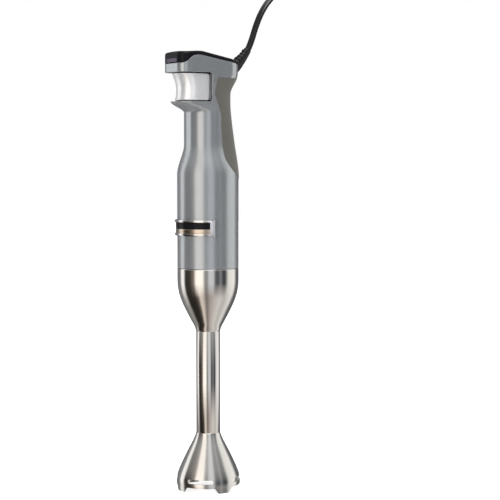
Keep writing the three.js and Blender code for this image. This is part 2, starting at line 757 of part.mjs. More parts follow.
place(
  'shaft_coupling',
  disc(8, above(-4), above(6.5)).subtract(disc(hexRadius + SLIDING, above(-1.6), above(9), 6)),
  STEEL_ROD,
);

// ---- Blending arm ---------------------------------------------------------------------------
// [share of the way out from tube to body, share of the height]
const cupCurve = [
  [0.01, 0], [0.03, 0.02], [0.11, 0.067], [0.245, 0.158], [0.43, 0.258], [0.57, 0.358],
  [0.733, 0.442], [0.864, 0.542], [0.95, 0.64], [1, 0.717], [1, 1],
];
const bellCurve = [
  [0.99, 0], [0.99, 0.11], [1.01, 0.167], [0.99, 0.222], [0.91, 0.326], [0.787, 0.426],
  [0.633, 0.537], [0.479, 0.648], [0.303, 0.741], [0.154, 0.852], [0.053, 0.963], [0.01, 1],
];
const shellOf = (curve, wide, low, tall) => {
  const outside = curve.map(([r, z]) => [mix(TUBE_RADIUS, wide, r), low + z * tall]);
  const inside = outside.map(([r, z]) => [r - STEEL, z]).reverse();
  return turned([...outside, ...inside], ROUND + 4);
};
place('arm_cup', shellOf(cupCurve, BODY_RADIUS, TUBE_TOP, CUP_HEIGHT), STAINLESS);
place(
  'arm_tube',
  ring(TUBE_RADIUS, TUBE_RADIUS - STEEL, BELL_HEIGHT + GAP, TUBE_TOP - GAP),
  STAINLESS,
);
const footStep = 360 / FOOT_COUNT;
const archMiddles = Array.from({ length: FOOT_COUNT }, (_, k) => BELL_TURN + (k + 0.5) * footStep);
const bellCut = (middle, span, low, high) =>
  sector(BELL_RADIUS + 5, BELL_RADIUS - 6, middle - span / 2, middle + span / 2, low, high);
const bellCuts = archMiddles.flatMap((middle) => [
  bellCut(middle, footStep - FOOT_SPAN, -1, ARCH_RISE),
  bellCut(middle, SLOT_SPAN, SLOT_LOW, SLOT_HIGH),
]);
place('bell_guard', without(shellOf(bellCurve, BELL_RADIUS, 0, BELL_HEIGHT), ...bellCuts), STAINLESS);
const TUBE_BORE = TUBE_RADIUS - STEEL;
const driveBore = DRIVE_RADIUS + RUNNING;
place(
  'lower_arm_bushing',
  ring(TUBE_BORE - GAP, driveBore, BELL_HEIGHT + 3, BELL_HEIGHT + 13, 16),
  BRASS,
);
place('shaft_seal', ring(TUBE_BORE - 0.6, driveBore, BELL_HEIGHT - 2, BELL_HEIGHT + 2.5, 16), RUBBER);
const HUB_RADIUS = 6;
const HUB_TALL = 14;
const HUB_TOP = BLADE_Z + BLADE_THICK + HUB_TALL;
const NUT_RADIUS = 4.5;
const NUT_TALL = 1.8;
place('drive_shaft', disc(DRIVE_RADIUS, HUB_TOP + GAP, above(-4 - GAP), 16), STEEL_ROD);
place('blade_hub', disc(HUB_RADIUS, BLADE_Z + BLADE_THICK + GAP, HUB_TOP), STEEL_ROD);
const BLADE_ROOT = 4.5; // half width at the hub
const wing = [
  [5, -BLADE_ROOT], [BLADE_RADIUS - 2, -5.5], [BLADE_RADIUS, -2],
  [BLADE_RADIUS, 2], [BLADE_RADIUS - 2, 3.5], [5, BLADE_ROOT],
];
const bladePlan = outline([...wing, ...wing.map(([x, y]) => [-x, -y])]);
place('blade', raised(bladePlan, BLADE_Z, BLADE_Z + BLADE_THICK), STEEL_ROD);
place('blade_nut', disc(NUT_RADIUS, BLADE_Z - NUT_TALL, BLADE_Z - GAP, 6), STEEL_ROD);

// ---- Cord -----------------------------------------------------------------------------------
// The route is a list chosen by hand, about the shaft axis: out of the head, up in an arch and
// down behind the handle to the surface, where the rest lies as a tied hank behind the bell.
const reliefPath = [[-5.6, 0], [-0.8, 0.2], [5.2, 2.9], [11.4, 7.5], [16.8, 13.1], [21, 19]].map(
  ([back, up]) => [HEAD_REAR + back, RELIEF_Z + up],
);
const cordRoute = [
  [0, 47.2, 418.8], [0, 51.6, 428.0], [0, 56.4, 440.6], [0, 61.6, 451.6], [0, 68.0, 461.4],
  [0, 75.4, 469.6], [0, 84.7, 479.9], [0, 93.4, 489.5], [-3.0, 103.2, 498.3],
  [-11.1, 112.1, 502.4], [-22.2, 118.2, 501.3], [-33.4, 119.9, 495.4], [-41.5, 116.7, 486.1],
  [-44.5, 109.5, 476.1], [-44.6, 101.9, 467.6], [-44.7, 95.3, 457.4], [-44.8, 90.0, 446.0],
  [-44.9, 85.1, 432.9], [-45.0, 80.6, 423.3], [-43.7, 68.4, 404.5], [-47.3, 59.7, 393.5],
  [-47.7, 54.9, 379.5], [-47.7, 50.5, 363.0], [-46.5, 46.0, 340.0], [-45.1, 42.0, 310.0],
  [-44.1, 38.2, 260.0], [-42.5, 35.2, 210.0], [-41.0, 33.0, 160.0], [-39.9, 31.0, 110.0],
  [-39.7, 29.6, 70.0], [-40.7, 29.9, 42.0], [-42.4, 31.6, 26.0],
];

// A round bar of changing radius along [y, z] points in the plane of symmetry.
function taper(path, radii, sides = 12) {
  const corners = [];
  path.forEach(([y, z], k) => {
    const before = path[Math.max(0, k - 1)];
    const after = path[Math.min(path.length - 1, k + 1)];
    const lean = Math.atan2(after[1] - before[1], after[0] - before[0]);
    for (let i = 0; i < sides; i += 1) {
      const turn = (2 * Math.PI * i) / sides;
      const out = radii[k] * Math.cos(turn);
      corners.push(radii[k] * Math.sin(turn), y - out * Math.sin(lean), z + out * Math.cos(lean));
    }
  });
  const faces = [];
  for (let k = 0; k + 1 < path.length; k += 1) {
    for (let i = 0; i < sides; i += 1) {
      const [a, b] = [k * sides + i, k * sides + ((i + 1) % sides)];
      faces.push(a, b, b + sides, a, b + sides, a + sides);
    }
  }
  const last = (path.length - 1) * sides;
  for (let i = 1; i + 1 < sides; i += 1) faces.push(0, i + 1, i, last, last + i, last + i + 1);
  const geometry = new THREE.BufferGeometry();
  geometry.setAttribute('position', new THREE.Float32BufferAttribute(corners, 3));
  geometry.setIndex(faces);
  return solid(geometry);
}
const reliefRadii = [4.4, 4.4, 5.3, 4.9, 4.4, RELIEF_TIP];
const FLANGE_HALF = 7.5; // the sleeve's flange, held inside the head
const FLANGE_DEEP = 5.6;
place(
  'strain_relief',
  joined(
    taper(reliefPath, reliefRadii),
    rodY(RELIEF_RADIUS, HEAD_REAR - WALL - 0.2, HEAD_REAR + 1, RELIEF_Z, 0, 16),
    block(
      -FLANGE_HALF,
      FLANGE_HALF,
      HEAD_REAR - FLANGE_DEEP,
      HEAD_REAR - WALL - GAP,
      RELIEF_Z - 5.5,
      RELIEF_Z + 3.6,
    ),
  ),
  RUBBER,
);
const CLAMP_HALF = 8;
const [CLAMP_FRONT, CLAMP_REAR] = [HEAD_REAR - 10.5, HEAD_REAR - 6];
place(
  'cord_clamp',
  block(-CLAMP_HALF, CLAMP_HALF, CLAMP_FRONT, CLAMP_REAR, RELIEF_Z - 6, RELIEF_Z + 3.6).subtract(
    rodY(CORD_RADIUS + GAP, CLAMP_FRONT - 1, CLAMP_REAR + 1, RELIEF_Z, 0, 12),
  ),
  INNER_PLASTIC,
);
const cordCurve = new THREE.CatmullRomCurve3(
  cordRoute.map((point) => new THREE.Vector3(...point)),
  false,
  'centripetal',
);
const cordSection = outline(
  Array.from({ length: 8 }, (_, k) => {
    const turn = (2 * Math.PI * k) / 8;
    return [CORD_RADIUS * Math.cos(turn), CORD_RADIUS * Math.sin(turn)];
  }),
);
place(
  'power_cord',
  solid(new THREE.ExtrudeGeometry(cordSection, { steps: 50, extrudePath: cordCurve })),
  RUBBER,
);

// The hank and the plug lie along a line behind the bell: here x is across it and y along it.
const toHank = (body) => body.rotate([0, 0, CORD_AWAY]);
const nearArc = HANK_NEAR + HANK_HALF;
const farArc = HANK_NEAR + HANK_LONG - HANK_HALF;
const hankPlan = new THREE.Shape();
hankPlan.absarc(0, farArc, HANK_HALF, 0, Math.PI, false);
hankPlan.absarc(0, nearArc, HANK_HALF, Math.PI, 2 * Math.PI, false);
const HANK_TOP = HANK_LIFT + HANK_TALL;
place('cord_hank', toHank(raised(hankPlan, HANK_LIFT, HANK_TOP, 10)), RUBBER);
const TIE_THICK = 0.6;
const [TIE_NEAR, TIE_FAR] = [HANK_NEAR + 31, HANK_NEAR + 38];
const TIE_INSIDE = HANK_HALF + GAP;
const TIE_OUTSIDE = TIE_INSIDE + TIE_THICK;
place(
  'cord_tie',
  toHank(
    block(-TIE_OUTSIDE, TIE_OUTSIDE, TIE_NEAR, TIE_FAR, 0, HANK_TOP + GAP + TIE_THICK).subtract(
      block(-TIE_INSIDE, TIE_INSIDE, TIE_NEAR - 1, TIE_FAR + 1, TIE_THICK, HANK_TOP + GAP),
    ),
  ),
  INNER_PLASTIC,
);
const PLUG_X = 3;
const PLUG_REAR = HANK_NEAR + 56;
const PLUG_SHOULDER = PLUG_REAR + 8;
const PLUG_NOSE = PLUG_REAR + 23;
const PLUG_TALL = 12;
const PLUG_HALF = 9.5;
const PLUG_NECK = 5; // half width where the cord enters
const PLUG_LOW = HANK_TOP + GAP;
const plugPlan = outline([
  [PLUG_X - PLUG_NECK, PLUG_REAR], [PLUG_X + PLUG_NECK, PLUG_REAR],
  [PLUG_X + PLUG_HALF, PLUG_SHOULDER], [PLUG_X + PLUG_HALF, PLUG_NOSE],
  [PLUG_X - PLUG_HALF, PLUG_NOSE], [PLUG_X - PLUG_HALF, PLUG_SHOULDER],
]);
place('plug_body', toHank(raised(plugPlan, PLUG_LOW, PLUG_LOW + PLUG_TALL)), RUBBER);
const PRONG_APART = 6.35; // from the plug's middle line
const PRONG_LONG = 16;
const PRONG_THICK = 1.5;
const PRONG_TALL = 6;
const PRONG_LOW = PLUG_LOW + (PLUG_TALL - PRONG_TALL) / 2;
for (const [side, sign] of [['left', -1], ['right', 1]]) {
  const near = PLUG_X + PRONG_APART * sign - PRONG_THICK / 2;
  const start = PLUG_NOSE + GAP;
  const prong = block(near, near + PRONG_THICK, start, start + PRONG_LONG, PRONG_LOW, PRONG_LOW + PRONG_TALL);
  place(`plug_prong_${side}`, toHank(prong), BRASS);
}

export default blender;
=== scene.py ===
# Immersion blender: a trigger handle with its motor, a twist-off stainless arm with a bell guard
# and a blade, and a flat mains cord folded into a hank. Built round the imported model, in metres.
import math

import bpy
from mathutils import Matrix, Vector


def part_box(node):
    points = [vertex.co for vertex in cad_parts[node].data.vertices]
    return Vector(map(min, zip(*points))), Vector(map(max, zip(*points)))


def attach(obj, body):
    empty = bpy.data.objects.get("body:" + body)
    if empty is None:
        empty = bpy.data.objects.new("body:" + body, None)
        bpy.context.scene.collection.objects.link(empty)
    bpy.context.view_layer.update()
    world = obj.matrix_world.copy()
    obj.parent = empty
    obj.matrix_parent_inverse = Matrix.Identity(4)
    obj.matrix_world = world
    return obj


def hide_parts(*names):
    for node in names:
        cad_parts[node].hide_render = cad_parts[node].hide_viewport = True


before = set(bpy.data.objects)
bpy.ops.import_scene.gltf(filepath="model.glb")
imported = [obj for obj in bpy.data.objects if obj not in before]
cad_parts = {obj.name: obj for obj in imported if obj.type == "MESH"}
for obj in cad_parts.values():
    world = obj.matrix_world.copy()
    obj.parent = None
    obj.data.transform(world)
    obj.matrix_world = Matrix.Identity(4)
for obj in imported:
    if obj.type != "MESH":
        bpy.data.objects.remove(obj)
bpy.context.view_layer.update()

# ---- Camera, floor and light ----------------------------------------------------------------
# A long lens looks at the handle's right front from a little above its middle. The object
# stands on a pale floor between two tall soft boxes, with dark gaps between them.
MM = 0.001
lowest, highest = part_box("arm_tube")
SHAFT = Vector(((lowest.x + highest.x) / 2, (lowest.y + highest.y) / 2, 0))
VIEW_SIDE = math.radians(55)
VIEW_AWAY = 1.4
VIEW_HEIGHT = 0.303
VIEW_TILT = 3.09
VIEW_PAN = 1.63
LENS = 106.5
toward = Vector((math.sin(VIEW_SIDE), -math.cos(VIEW_SIDE), 0))
camera_data = bpy.data.cameras.new("camera")
camera_data.lens = LENS
camera = bpy.data.objects.new("camera", camera_data)
bpy.context.scene.collection.objects.link(camera)
camera.location = SHAFT + toward * VIEW_AWAY + Vector((0, 0, VIEW_HEIGHT))
camera.rotation_euler = (math.radians(90 - VIEW_TILT), 0, VIEW_SIDE - math.radians(VIEW_PAN))
bpy.context.scene.camera = camera
bpy.context.scene.view_settings.view_transform = "Standard"


class Value:
    """A number that changes over a surface. Arithmetic on it adds Math nodes."""

    def __init__(self, finish, socket):
        self.finish = finish
        self.socket = socket

    def with_math(self, operation, other):
        settings = {"operation": operation}
        return self.finish.node("ShaderNodeMath", settings, {0: self, 1: other})

    def __add__(self, other):
        return self.with_math("ADD", other)

    def __mul__(self, other):
        return self.with_math("MULTIPLY", other)

    def __truediv__(self, other):
        return self.with_math("DIVIDE", other)


class Finish:
    """A material: a Principled surface and the nodes that feed it."""

    def __init__(self, name, tree=None, **constants):
        self.material = None
        if tree is None:
            self.material = bpy.data.materials.new(name)
            self.material.use_nodes = True
            tree = self.material.node_tree
        self.nodes = tree.nodes
        self.links = tree.links
        self.surface = self.nodes.get("Principled BSDF")
        for label, value in constants.items():
            self.surface.inputs[label.replace("_", " ")].default_value = value

    def node(self, kind, settings=None, inputs=None, output=0):
        made = self.nodes.new(kind)
        for name, value in (settings or {}).items():
            if name == "stops":
                ramp = made.color_ramp
                while len(ramp.elements) > 1:
                    ramp.elements.remove(ramp.elements[-1])
                ramp.elements[0].position, ramp.elements[0].color = value[0]
                for position, color in value[1:]:
                    ramp.elements.new(position).color = color
            else:
                setattr(made, name, value)
        for key, value in (inputs or {}).items():
            if isinstance(value, Value):
                self.links.new(value.socket, made.inputs[key])
            else:
                made.inputs[key].default_value = value
        return Value(self, made.outputs[output])

    def place(self, scale=(1, 1, 1)):
        """Object coordinates in metres, stretched by a scale for each axis."""
        where = self.node("ShaderNodeTexCoord", output="Object")
        return self.node("ShaderNodeMapping", None, {"Vector": where, "Scale": scale})

    def noise(self, where, scale, detail=2.0, roughness=0.5):
        inputs = {"Vector": where, "Scale": scale, "Detail": detail, "Roughness": roughness}
        return self.node("ShaderNodeTexNoise", None, inputs)

    def between(self, amount, first, second):
        """A colour between two colours."""
        settings = {"data_type": "RGBA"}
        return self.node("ShaderNodeMix", settings, {0: amount, 6: first, 7: second}, 2)

    def feed(self, label, value):
        self.links.new(value.socket, self.surface.inputs[label])

    def tint(self, amount, first, second):
        """Gives the surface a base colour between two tints."""
        self.feed("Base Color", self.between(amount, (*first, 1), (*second, 1)))

    def bump(self, height, distance, strength=1.0):
        inputs = {"Height": height, "Distance": distance, "Strength": strength}
        self.feed("Normal", self.node("ShaderNodeBump", None, inputs))


def finished(piece, finish, body, stands_for=(), sharp=35):
    """Applies the modifiers, smooths the faces and hangs the piece on its body."""
    bpy.ops.object.select_all(action="DESELECT")
    piece.select_set(True)
    bpy.context.view_layer.objects.active = piece
    for modifier in list(piece.modifiers):
        bpy.ops.object.modifier_apply(modifier=modifier.name)
    bpy.ops.object.transform_apply(location=True, rotation=True, scale=True)
    if sharp:
        bpy.ops.object.shade_smooth_by_angle(angle=math.radians(sharp))
    piece.data.materials.clear()
    piece.data.materials.append(finish.material)
    if body:
        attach(piece, body)
    if stands_for:
        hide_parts(*stands_for)
    return piece


FLOOR_HALF = 6.0
AIM_HEIGHT = 0.22  # the soft boxes face the shaft at this height
bpy.ops.object.select_all(action="DESELECT")
bpy.ops.mesh.primitive_plane_add(size=2 * FLOOR_HALF, location=(0, 0, -0.0002))
floor = bpy.context.object
floor.name = "floor"
floor_finish = Finish(
    "floor_white",
    Base_Color=(0.9, 0.9, 0.9, 1),
    Roughness=0.85,
    Emission_Color=(1, 1, 1, 1),
    Emission_Strength=0.8,
)
floor.data.materials.append(floor_finish.material)
floor.visible_glossy = False


def soft_box(name, side, height, away, wide, tall, power, mirrored=False):
    """An area light; side is degrees round from the camera's side, towards its right."""
    angle = VIEW_SIDE + math.radians(side)
    lamp_data = bpy.data.lights.new(name, "AREA")
    lamp_data.shape = "RECTANGLE"
    lamp_data.size = wide
    lamp_data.size_y = tall
    lamp_data.energy = power
    lamp = bpy.data.objects.new(name, lamp_data)
    lamp.visible_glossy = mirrored
    bpy.context.scene.collection.objects.link(lamp)
    lamp.location = SHAFT + Vector((math.sin(angle) * away, -math.cos(angle) * away, height))
    aim = SHAFT + Vector((0, 0, AIM_HEIGHT)) - lamp.location
    lamp.rotation_euler = aim.to_track_quat("-Z", "Y").to_euler()


soft_box("left_box", -42, 0.55, 1.5, 0.55, 1.3, 16)
soft_box("right_box", 75, 0.5, 1.4, 0.5, 1.2, 9)
soft_box("top_box", 12, 1.7, 0.5, 0.8, 0.8, 12, True)

world = bpy.data.worlds.new("studio")
bpy.context.scene.world = world
world.use_nodes = True
sky = Finish("studio", tree=world.node_tree)
direction = sky.node("ShaderNodeTexCoord", output="Generated")
x, y, z = [sky.node("ShaderNodeSeparateXYZ", None, {0: direction}, axis) for axis in "XYZ"]
round_about = sky.node("ShaderNodeMath", {"operation": "ARCTAN2"}, {0: x, 1: y * -1})
turn = (round_about / (2 * math.pi)) + (1.5 - VIEW_SIDE / (2 * math.pi))
share = sky.node("ShaderNodeMath", {"operation": "FRACT"}, {0: turn})
# What stands round the handle, by degrees from the camera's side towards its right: level with
# it, and the warmer light from below. Overhead it is evenly pale.
LEVEL = [
    (-180, (0.16, 0.16, 0.17)),
    (-126, (0.24, 0.24, 0.25)),
    (-120, (1.10, 1.08, 1.05)),
    (-103, (1.10, 1.08, 1.05)),
    (-98, (0.03, 0.028, 0.025)),
    (-72, (0.05, 0.043, 0.037)),
    (-54, (0.24, 0.20, 0.17)),
    (-47, (1.30, 1.20, 1.08)),
    (-20, (1.30, 1.22, 1.12)),
    (-13, (0.30, 0.30, 0.29)),
    (-2, (0.28, 0.28, 0.28)),
    (3, (0.68, 0.69, 0.71)),
    (20, (0.68, 0.69, 0.71)),
    (28, (0.09, 0.095, 0.10)),
    (42, (0.10, 0.105, 0.11)),
    (49, (0.30, 0.30, 0.31)),
    (56, (0.06, 0.065, 0.07)),
    (70, (0.05, 0.055, 0.06)),
    (83, (0.88, 0.87, 0.83)),
    (116, (1.00, 0.98, 0.94)),
    (130, (0.12, 0.12, 0.13)),
    (180, (0.16, 0.16, 0.17)),
]
BELOW = [
    (-180, (0.16, 0.15, 0.15)),
    (-128, (0.26, 0.25, 0.24)),
    (-110, (0.32, 0.30, 0.27)),
    (-98, (0.02, 0.018, 0.015)),
    (-60, (0.03, 0.026, 0.022)),
    (-44, (0.14, 0.11, 0.09)),
    (-36, (0.85, 0.75, 0.66)),
    (-20, (0.62, 0.54, 0.47)),
    (-12, (0.22, 0.19, 0.17)),
    (-3, (0.22, 0.20, 0.18)),
    (8, (0.42, 0.37, 0.34)),
    (36, (0.60, 0.55, 0.51)),
    (60, (0.72, 0.69, 0.66)),
    (80, (0.55, 0.52, 0.49)),
    (112, (0.82, 0.80, 0.77)),
    (130, (0.12, 0.12, 0.12)),
    (180, (0.16, 0.15, 0.15)),
]
level, below = [
    sky.node(
        "ShaderNodeValToRGB",
        {"stops": [((angle + 180) / 360, (*color, 1)) for angle, color in around]},
        {0: share},
    )
    for around in (LEVEL, BELOW)
]
PALE = (0.85, 0.84, 0.82, 1)
BACKDROP = (1.05, 1.05, 1.05, 1)  # only the camera sees it
under = sky.node("ShaderNodeMapRange", None, {0: z, 1: -0.15, 2: -0.6})
over = sky.node("ShaderNodeMapRange", None, {0: z, 1: 0.1, 2: 0.75, 4: 0.4})
studio = sky.between(over, sky.between(under, level, below), PALE)
seen = sky.node("ShaderNodeLightPath", output="Is Camera Ray")
shown = sky.between(seen, studio, BACKDROP)
background = sky.nodes["Background"]
sky.links.new(shown.socket, background.inputs["Color"])
background.inputs["Strength"].default_value = 0.95

# ---- Mains cord -----------------------------------------------------------------------------
# Flat twin cord with a groove down its middle. It leaves the sleeve on the head, rises in an
# arch, falls behind the handle and ends in a hank that a strap ties, with the plug on top.
CORD_WIDE = 6.0
CORD_THICK = 3.1
CORD_FALL = [
    (0, 42.6, 412.4), (0, 47.2, 418.8), (0, 51.6, 428.0), (0, 56.4, 440.6), (0, 61.6, 451.6),
    (0, 68.0, 461.4), (0, 75.4, 469.6), (0, 84.7, 479.9), (0, 93.4, 489.5), (-3.0, 103.2, 498.3),
    (-11.1, 112.1, 502.4), (-22.2, 118.2, 501.3), (-33.4, 119.9, 495.4), (-41.5, 116.7, 486.1),
    (-44.5, 109.5, 476.1), (-44.6, 101.9, 467.6), (-44.7, 95.3, 457.4), (-44.8, 90.0, 446.0),
    (-44.9, 85.1, 432.9), (-45.0, 80.6, 423.3), (-43.7, 68.4, 404.5), (-47.3, 59.7, 393.5),
    (-47.7, 54.9, 379.5), (-47.7, 50.5, 363.0), (-46.5, 46.0, 340.0), (-45.1, 42.0, 310.0),
    (-44.1, 38.2, 260.0), (-42.5, 35.2, 210.0), (-41.0, 33.0, 160.0), (-39.9, 31.0, 110.0),
    (-39.7, 29.6, 70.0), (-40.7, 29.9, 42.0), (-43.2, 32.4, 22.0), (-48.5, 38.8, 9.5),
    (-55.2, 48.4, 3.6), (-62.7, 60.4, 2.5), (-69.6, 69.7, 2.5),
]
CORD_STEP = 1.6  # between the cord's points
FOLD = 18.0  # the hank's bends, their middles and the height of one layer
NEAR_FOLD = 53.0
FAR_FOLD = 101.0
LAYER = 3.15
HANK_BOTTOM = 2.45
HANK_LAYERS = 3.77
HANK_START = 12.0
HANK_STEPS = 95
TAIL = [
    (17.9, 58, 14.35), (17.2, 64, 14.4), (14.6, 71, 15.0), (10.4, 77, 17.2), (6.2, 83, 20.4),
    (3.6, 88, 22.0), (3.0, 91, 22.2),
]
across = Vector((math.cos(VIEW_SIDE), math.sin(VIEW_SIDE), 0))
away = Vector((-math.sin(VIEW_SIDE), math.cos(VIEW_SIDE), 0))


def mix(a, b, t):
    return a + (b - a) * t


def clamp(t):
    return min(1.0, max(0.0, t))


def ease(t):
    return clamp(t) ** 2 * (3 - 2 * clamp(t))


def smooth_line(points, spacing):
    """Points at an even spacing along a smooth curve through the given ones."""
    points = [Vector(point) for point in points]
    ends = [2 * points[0] - points[1], *points, 2 * points[-1] - points[-2]]
    dense = []
    for a, b, c, d in zip(ends, ends[1:], ends[2:], ends[3:]):
        ta = 0.0
        tb = ta + math.sqrt((b - a).length)
        tc = tb + math.sqrt((c - b).length)
        td = tc + math.sqrt((d - c).length)
        for k in range(24):
            t = tb + (tc - tb) * k / 24
            ab = a + (b - a) * ((t - ta) / (tb - ta))
            bc = b + (c - b) * ((t - tb) / (tc - tb))
            cd = c + (d - c) * ((t - tc) / (td - tc))
            abc = ab + (bc - ab) * ((t - ta) / (tc - ta))
            bcd = bc + (cd - bc) * ((t - tb) / (td - tb))
            dense.append(abc + (bcd - abc) * ((t - tb) / (tc - tb)))
    dense.append(points[-1])
    total = sum((q - p).length for p, q in zip(dense, dense[1:]))
    count = max(2, round(total / spacing))
    line = [dense[0]]
    walked = 0.0
    for p, q in zip(dense, dense[1:]):
        step = (q - p).length
        while step > 0 and walked + step >= total * len(line) / count and len(line) < count:
            line.append(p.lerp(q, (total * len(line) / count - walked) / step))
        walked += step
    line.append(dense[-1])
    return line


def hank_point(travel):
    """Where the hank is after a travel in millimetres, from the start of its far fold."""
    run = FAR_FOLD - NEAR_FOLD
    bend = math.pi * FOLD
    turn = 2 * (run + bend)
    height = HANK_BOTTOM + LAYER * travel / turn
    along = travel % turn
    if along < bend:
        angle = along / FOLD
        spot = (FOLD * math.cos(angle), FAR_FOLD + FOLD * math.sin(angle))
    elif along < bend + run:
        spot = (-FOLD, FAR_FOLD - (along - bend))
    elif along < 2 * bend + run:
        angle = (along - bend - run) / FOLD
        spot = (-FOLD * math.cos(angle), NEAR_FOLD - FOLD * math.sin(angle))
    else:
        spot = (FOLD, NEAR_FOLD + along - 2 * bend - run)
    return across * spot[0] + away * spot[1] + Vector((0, 0, height))


HANK_TURN = 2 * (FAR_FOLD - NEAR_FOLD + math.pi * FOLD)
hank_length = HANK_LAYERS * HANK_TURN
winding = [
    hank_point(HANK_START + k * (hank_length - HANK_START) / HANK_STEPS)
    for k in range(HANK_STEPS + 1)
]
tail = [across * u + away * q + Vector((0, 0, z)) for u, q, z in TAIL]
cord_route = smooth_line([*map(Vector, CORD_FALL), *winding, *tail], CORD_STEP)
cord_line = [point * MM + SHAFT for point in cord_route]
cord_length = sum((q - p).length for p, q in zip(cord_line, cord_line[1:]))


def rolled(name, columns, rows, spot, closed=True):
    """A grid rolled into a shell: spot(u, v) in millimetres about the shaft, u and v 0 to 1."""
    bpy.ops.object.select_all(action="DESELECT")
    bpy.ops.mesh.primitive_grid_add(x_subdivisions=columns, y_subdivisions=rows, size=1)
    piece = bpy.context.object
    piece.name = name
    for vertex in piece.data.vertices:
        at = spot(vertex.co.x + 0.5, vertex.co.y + 0.5)
        vertex.co = Vector(at) * MM + SHAFT
    bpy.ops.object.mode_set(mode="EDIT")
    bpy.ops.mesh.select_all(action="SELECT")
    bpy.ops.mesh.remove_doubles(threshold=2e-6)
    if closed:
        bpy.ops.mesh.normals_make_consistent(inside=False)
    bpy.ops.object.mode_set(mode="OBJECT")
    return piece


TWISTED = 46  # points of the cord that lie flat towards the front, before it turns level


def cord_frames(line):
    """The direction across the cord's width at each point: level after the first arch."""
    wide = across.copy()
    frames = []
    for k, point in enumerate(line):
        along = (line[min(k + 1, len(line) - 1)] - line[max(k - 1, 0)]).normalized()
        level = Vector((along.y, -along.x, 0)) if k > TWISTED else across.copy()
        if level.dot(wide) < 0:
            level.negate()
        wide = wide + level * (0.35 * level.length)
        wide = (wide - along * wide.dot(along)).normalized()
        frames.append((along, wide, wide.cross(along)))
    return frames


def twin_section(turn):
    """The cord's outline: two round cores side by side, joined by a web."""
    core = CORD_THICK / 2
    apart = CORD_WIDE / 2 - core
    side = 1 if math.cos(turn) >= 0 else -1
    angle = turn if side > 0 else math.pi - turn
    angle = (angle + math.pi) % (2 * math.pi) - math.pi
    lean = angle * 1.52
    return side * (apart + core * math.cos(lean)), core * math.sin(lean)


cord_turns = cord_frames(cord_line)
CORD_SIDES = 24


def cord_spot(u, v):
    k = round(v * (len(cord_line) - 1))
    along, wide, thick = cord_turns[k]
    end = 0.02 if k in (0, len(cord_line) - 1) else 1.0
    a, b = twin_section(2 * math.pi * (u + 0.5 / CORD_SIDES))
    middle = (cord_line[k] - SHAFT) / MM
    return middle + (wide * a + thick * b) * end


cord = rolled("mains_cord", CORD_SIDES, len(cord_line) - 1, cord_spot)
cord_finish = Finish("black_cord_sheath", Specular_IOR_Level=0.35)
skin = cord_finish.noise(cord_finish.place(), 900, 3)
cord_finish.tint(skin, (0.004, 0.004, 0.0045), (0.008, 0.008, 0.009))
cord_finish.feed("Roughness", skin * 0.08 + 0.13)
cord_finish.bump(skin, 0.00004)
finished(cord, cord_finish, "handle", ("power_cord", "cord_hank"), 50)

# ---- Strap and plug -------------------------------------------------------------------------
# A flat strap holds the hank together. The moulded plug rests on top of it, with two flat
# prongs.
plug_low, plug_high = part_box("plug_body")
STRAP_HALF = 21.7
STRAP_NEAR = 63.0
STRAP_FAR = 70.0
STRAP_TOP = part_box("cord_tie")[1].z / MM
STRAP_THICK = 0.6
STRAP_CORNER = 6.0


def strap_spot(u, v):
    """u runs round the hank, v across the strap's width."""
    turn = 2 * math.pi * u
    nx, nz = math.cos(turn), math.sin(turn)
    a = math.copysign(STRAP_HALF - 0.1 - STRAP_CORNER, nx) + STRAP_CORNER * nx
    tall = (STRAP_TOP - STRAP_THICK) / 2
    b = STRAP_TOP / 2 + math.copysign(tall - STRAP_CORNER, nz) + STRAP_CORNER * nz
    q = mix(STRAP_NEAR, STRAP_FAR, v)
    return across * a + away * q + Vector((0, 0, b))


def facing(piece, face, outward):
    """Turns the faces over if the given one faces the wrong way."""
    if face.normal.dot(outward) < 0:
        piece.data.flip_normals()


def thickened(piece, thick, offset=-1):
    """Gives a surface its thickness in millimetres, inwards unless the offset says otherwise."""
    thickness = piece.modifiers.new("thickness", "SOLIDIFY")
    thickness.thickness = thick * MM
    thickness.offset = offset
    return thickness


def rounded(piece, width, segments, angle=30):
    """Rounds the edges that turn by more than the angle, by a width in millimetres."""
    rounding = piece.modifiers.new("rounding", "BEVEL")
    rounding.width = width * MM
    rounding.segments = segments
    rounding.limit_method = "ANGLE"
    rounding.angle_limit = math.radians(angle)


UP = Vector((0, 0, 1))
strap = rolled("hank_strap", 96, 4, strap_spot, False)
facing(strap, max(strap.data.polygons, key=lambda face: face.center.z), UP)
thickened(strap, STRAP_THICK * 0.9, 0)
strap_finish = Finish("strap_black", Specular_IOR_Level=0.4)
weave = strap_finish.noise(strap_finish.place((2200, 2200, 2200)), 1.0, 2)
strap_finish.tint(weave, (0.014, 0.014, 0.014), (0.03, 0.03, 0.03))
strap_finish.feed("Roughness", weave * 0.2 + 0.5)
strap_finish.bump(weave, 0.00003)
finished(strap, strap_finish, "handle", ("cord_tie",), 50)
PLUG_U = 3.0
PLUG_REAR = 88.0
PLUG_NOSE = 111.0
PLUG_SQUARE = 0.62  # 1 would be round
PRONG_OUT = 6.35
PRONG_THICK = 1.5
PRONG_LONG = 16.0
PRONG_WIDE = 6.0
PRONG_TIP = 0.78
PLUG_BASE = plug_low.z / MM
PLUG_TALL = (plug_high - plug_low).z / MM
PLUG_PROFILE = [
    (0.0, 0.05), (0.0, 3.6), (0.4, 4.3), (3.0, 4.7), (3.4, 4.1), (4.6, 4.1), (5.0, 5.2),
    (6.2, 5.6), (6.6, 5.0), (7.8, 5.2), (8.2, 6.6), (11.0, 8.4), (15.0, 9.3), (20.0, 9.5),
    (22.4, 9.3), (23.0, 8.6), (23.0, 0.05),
]
plug_rows = len(PLUG_PROFILE) - 1


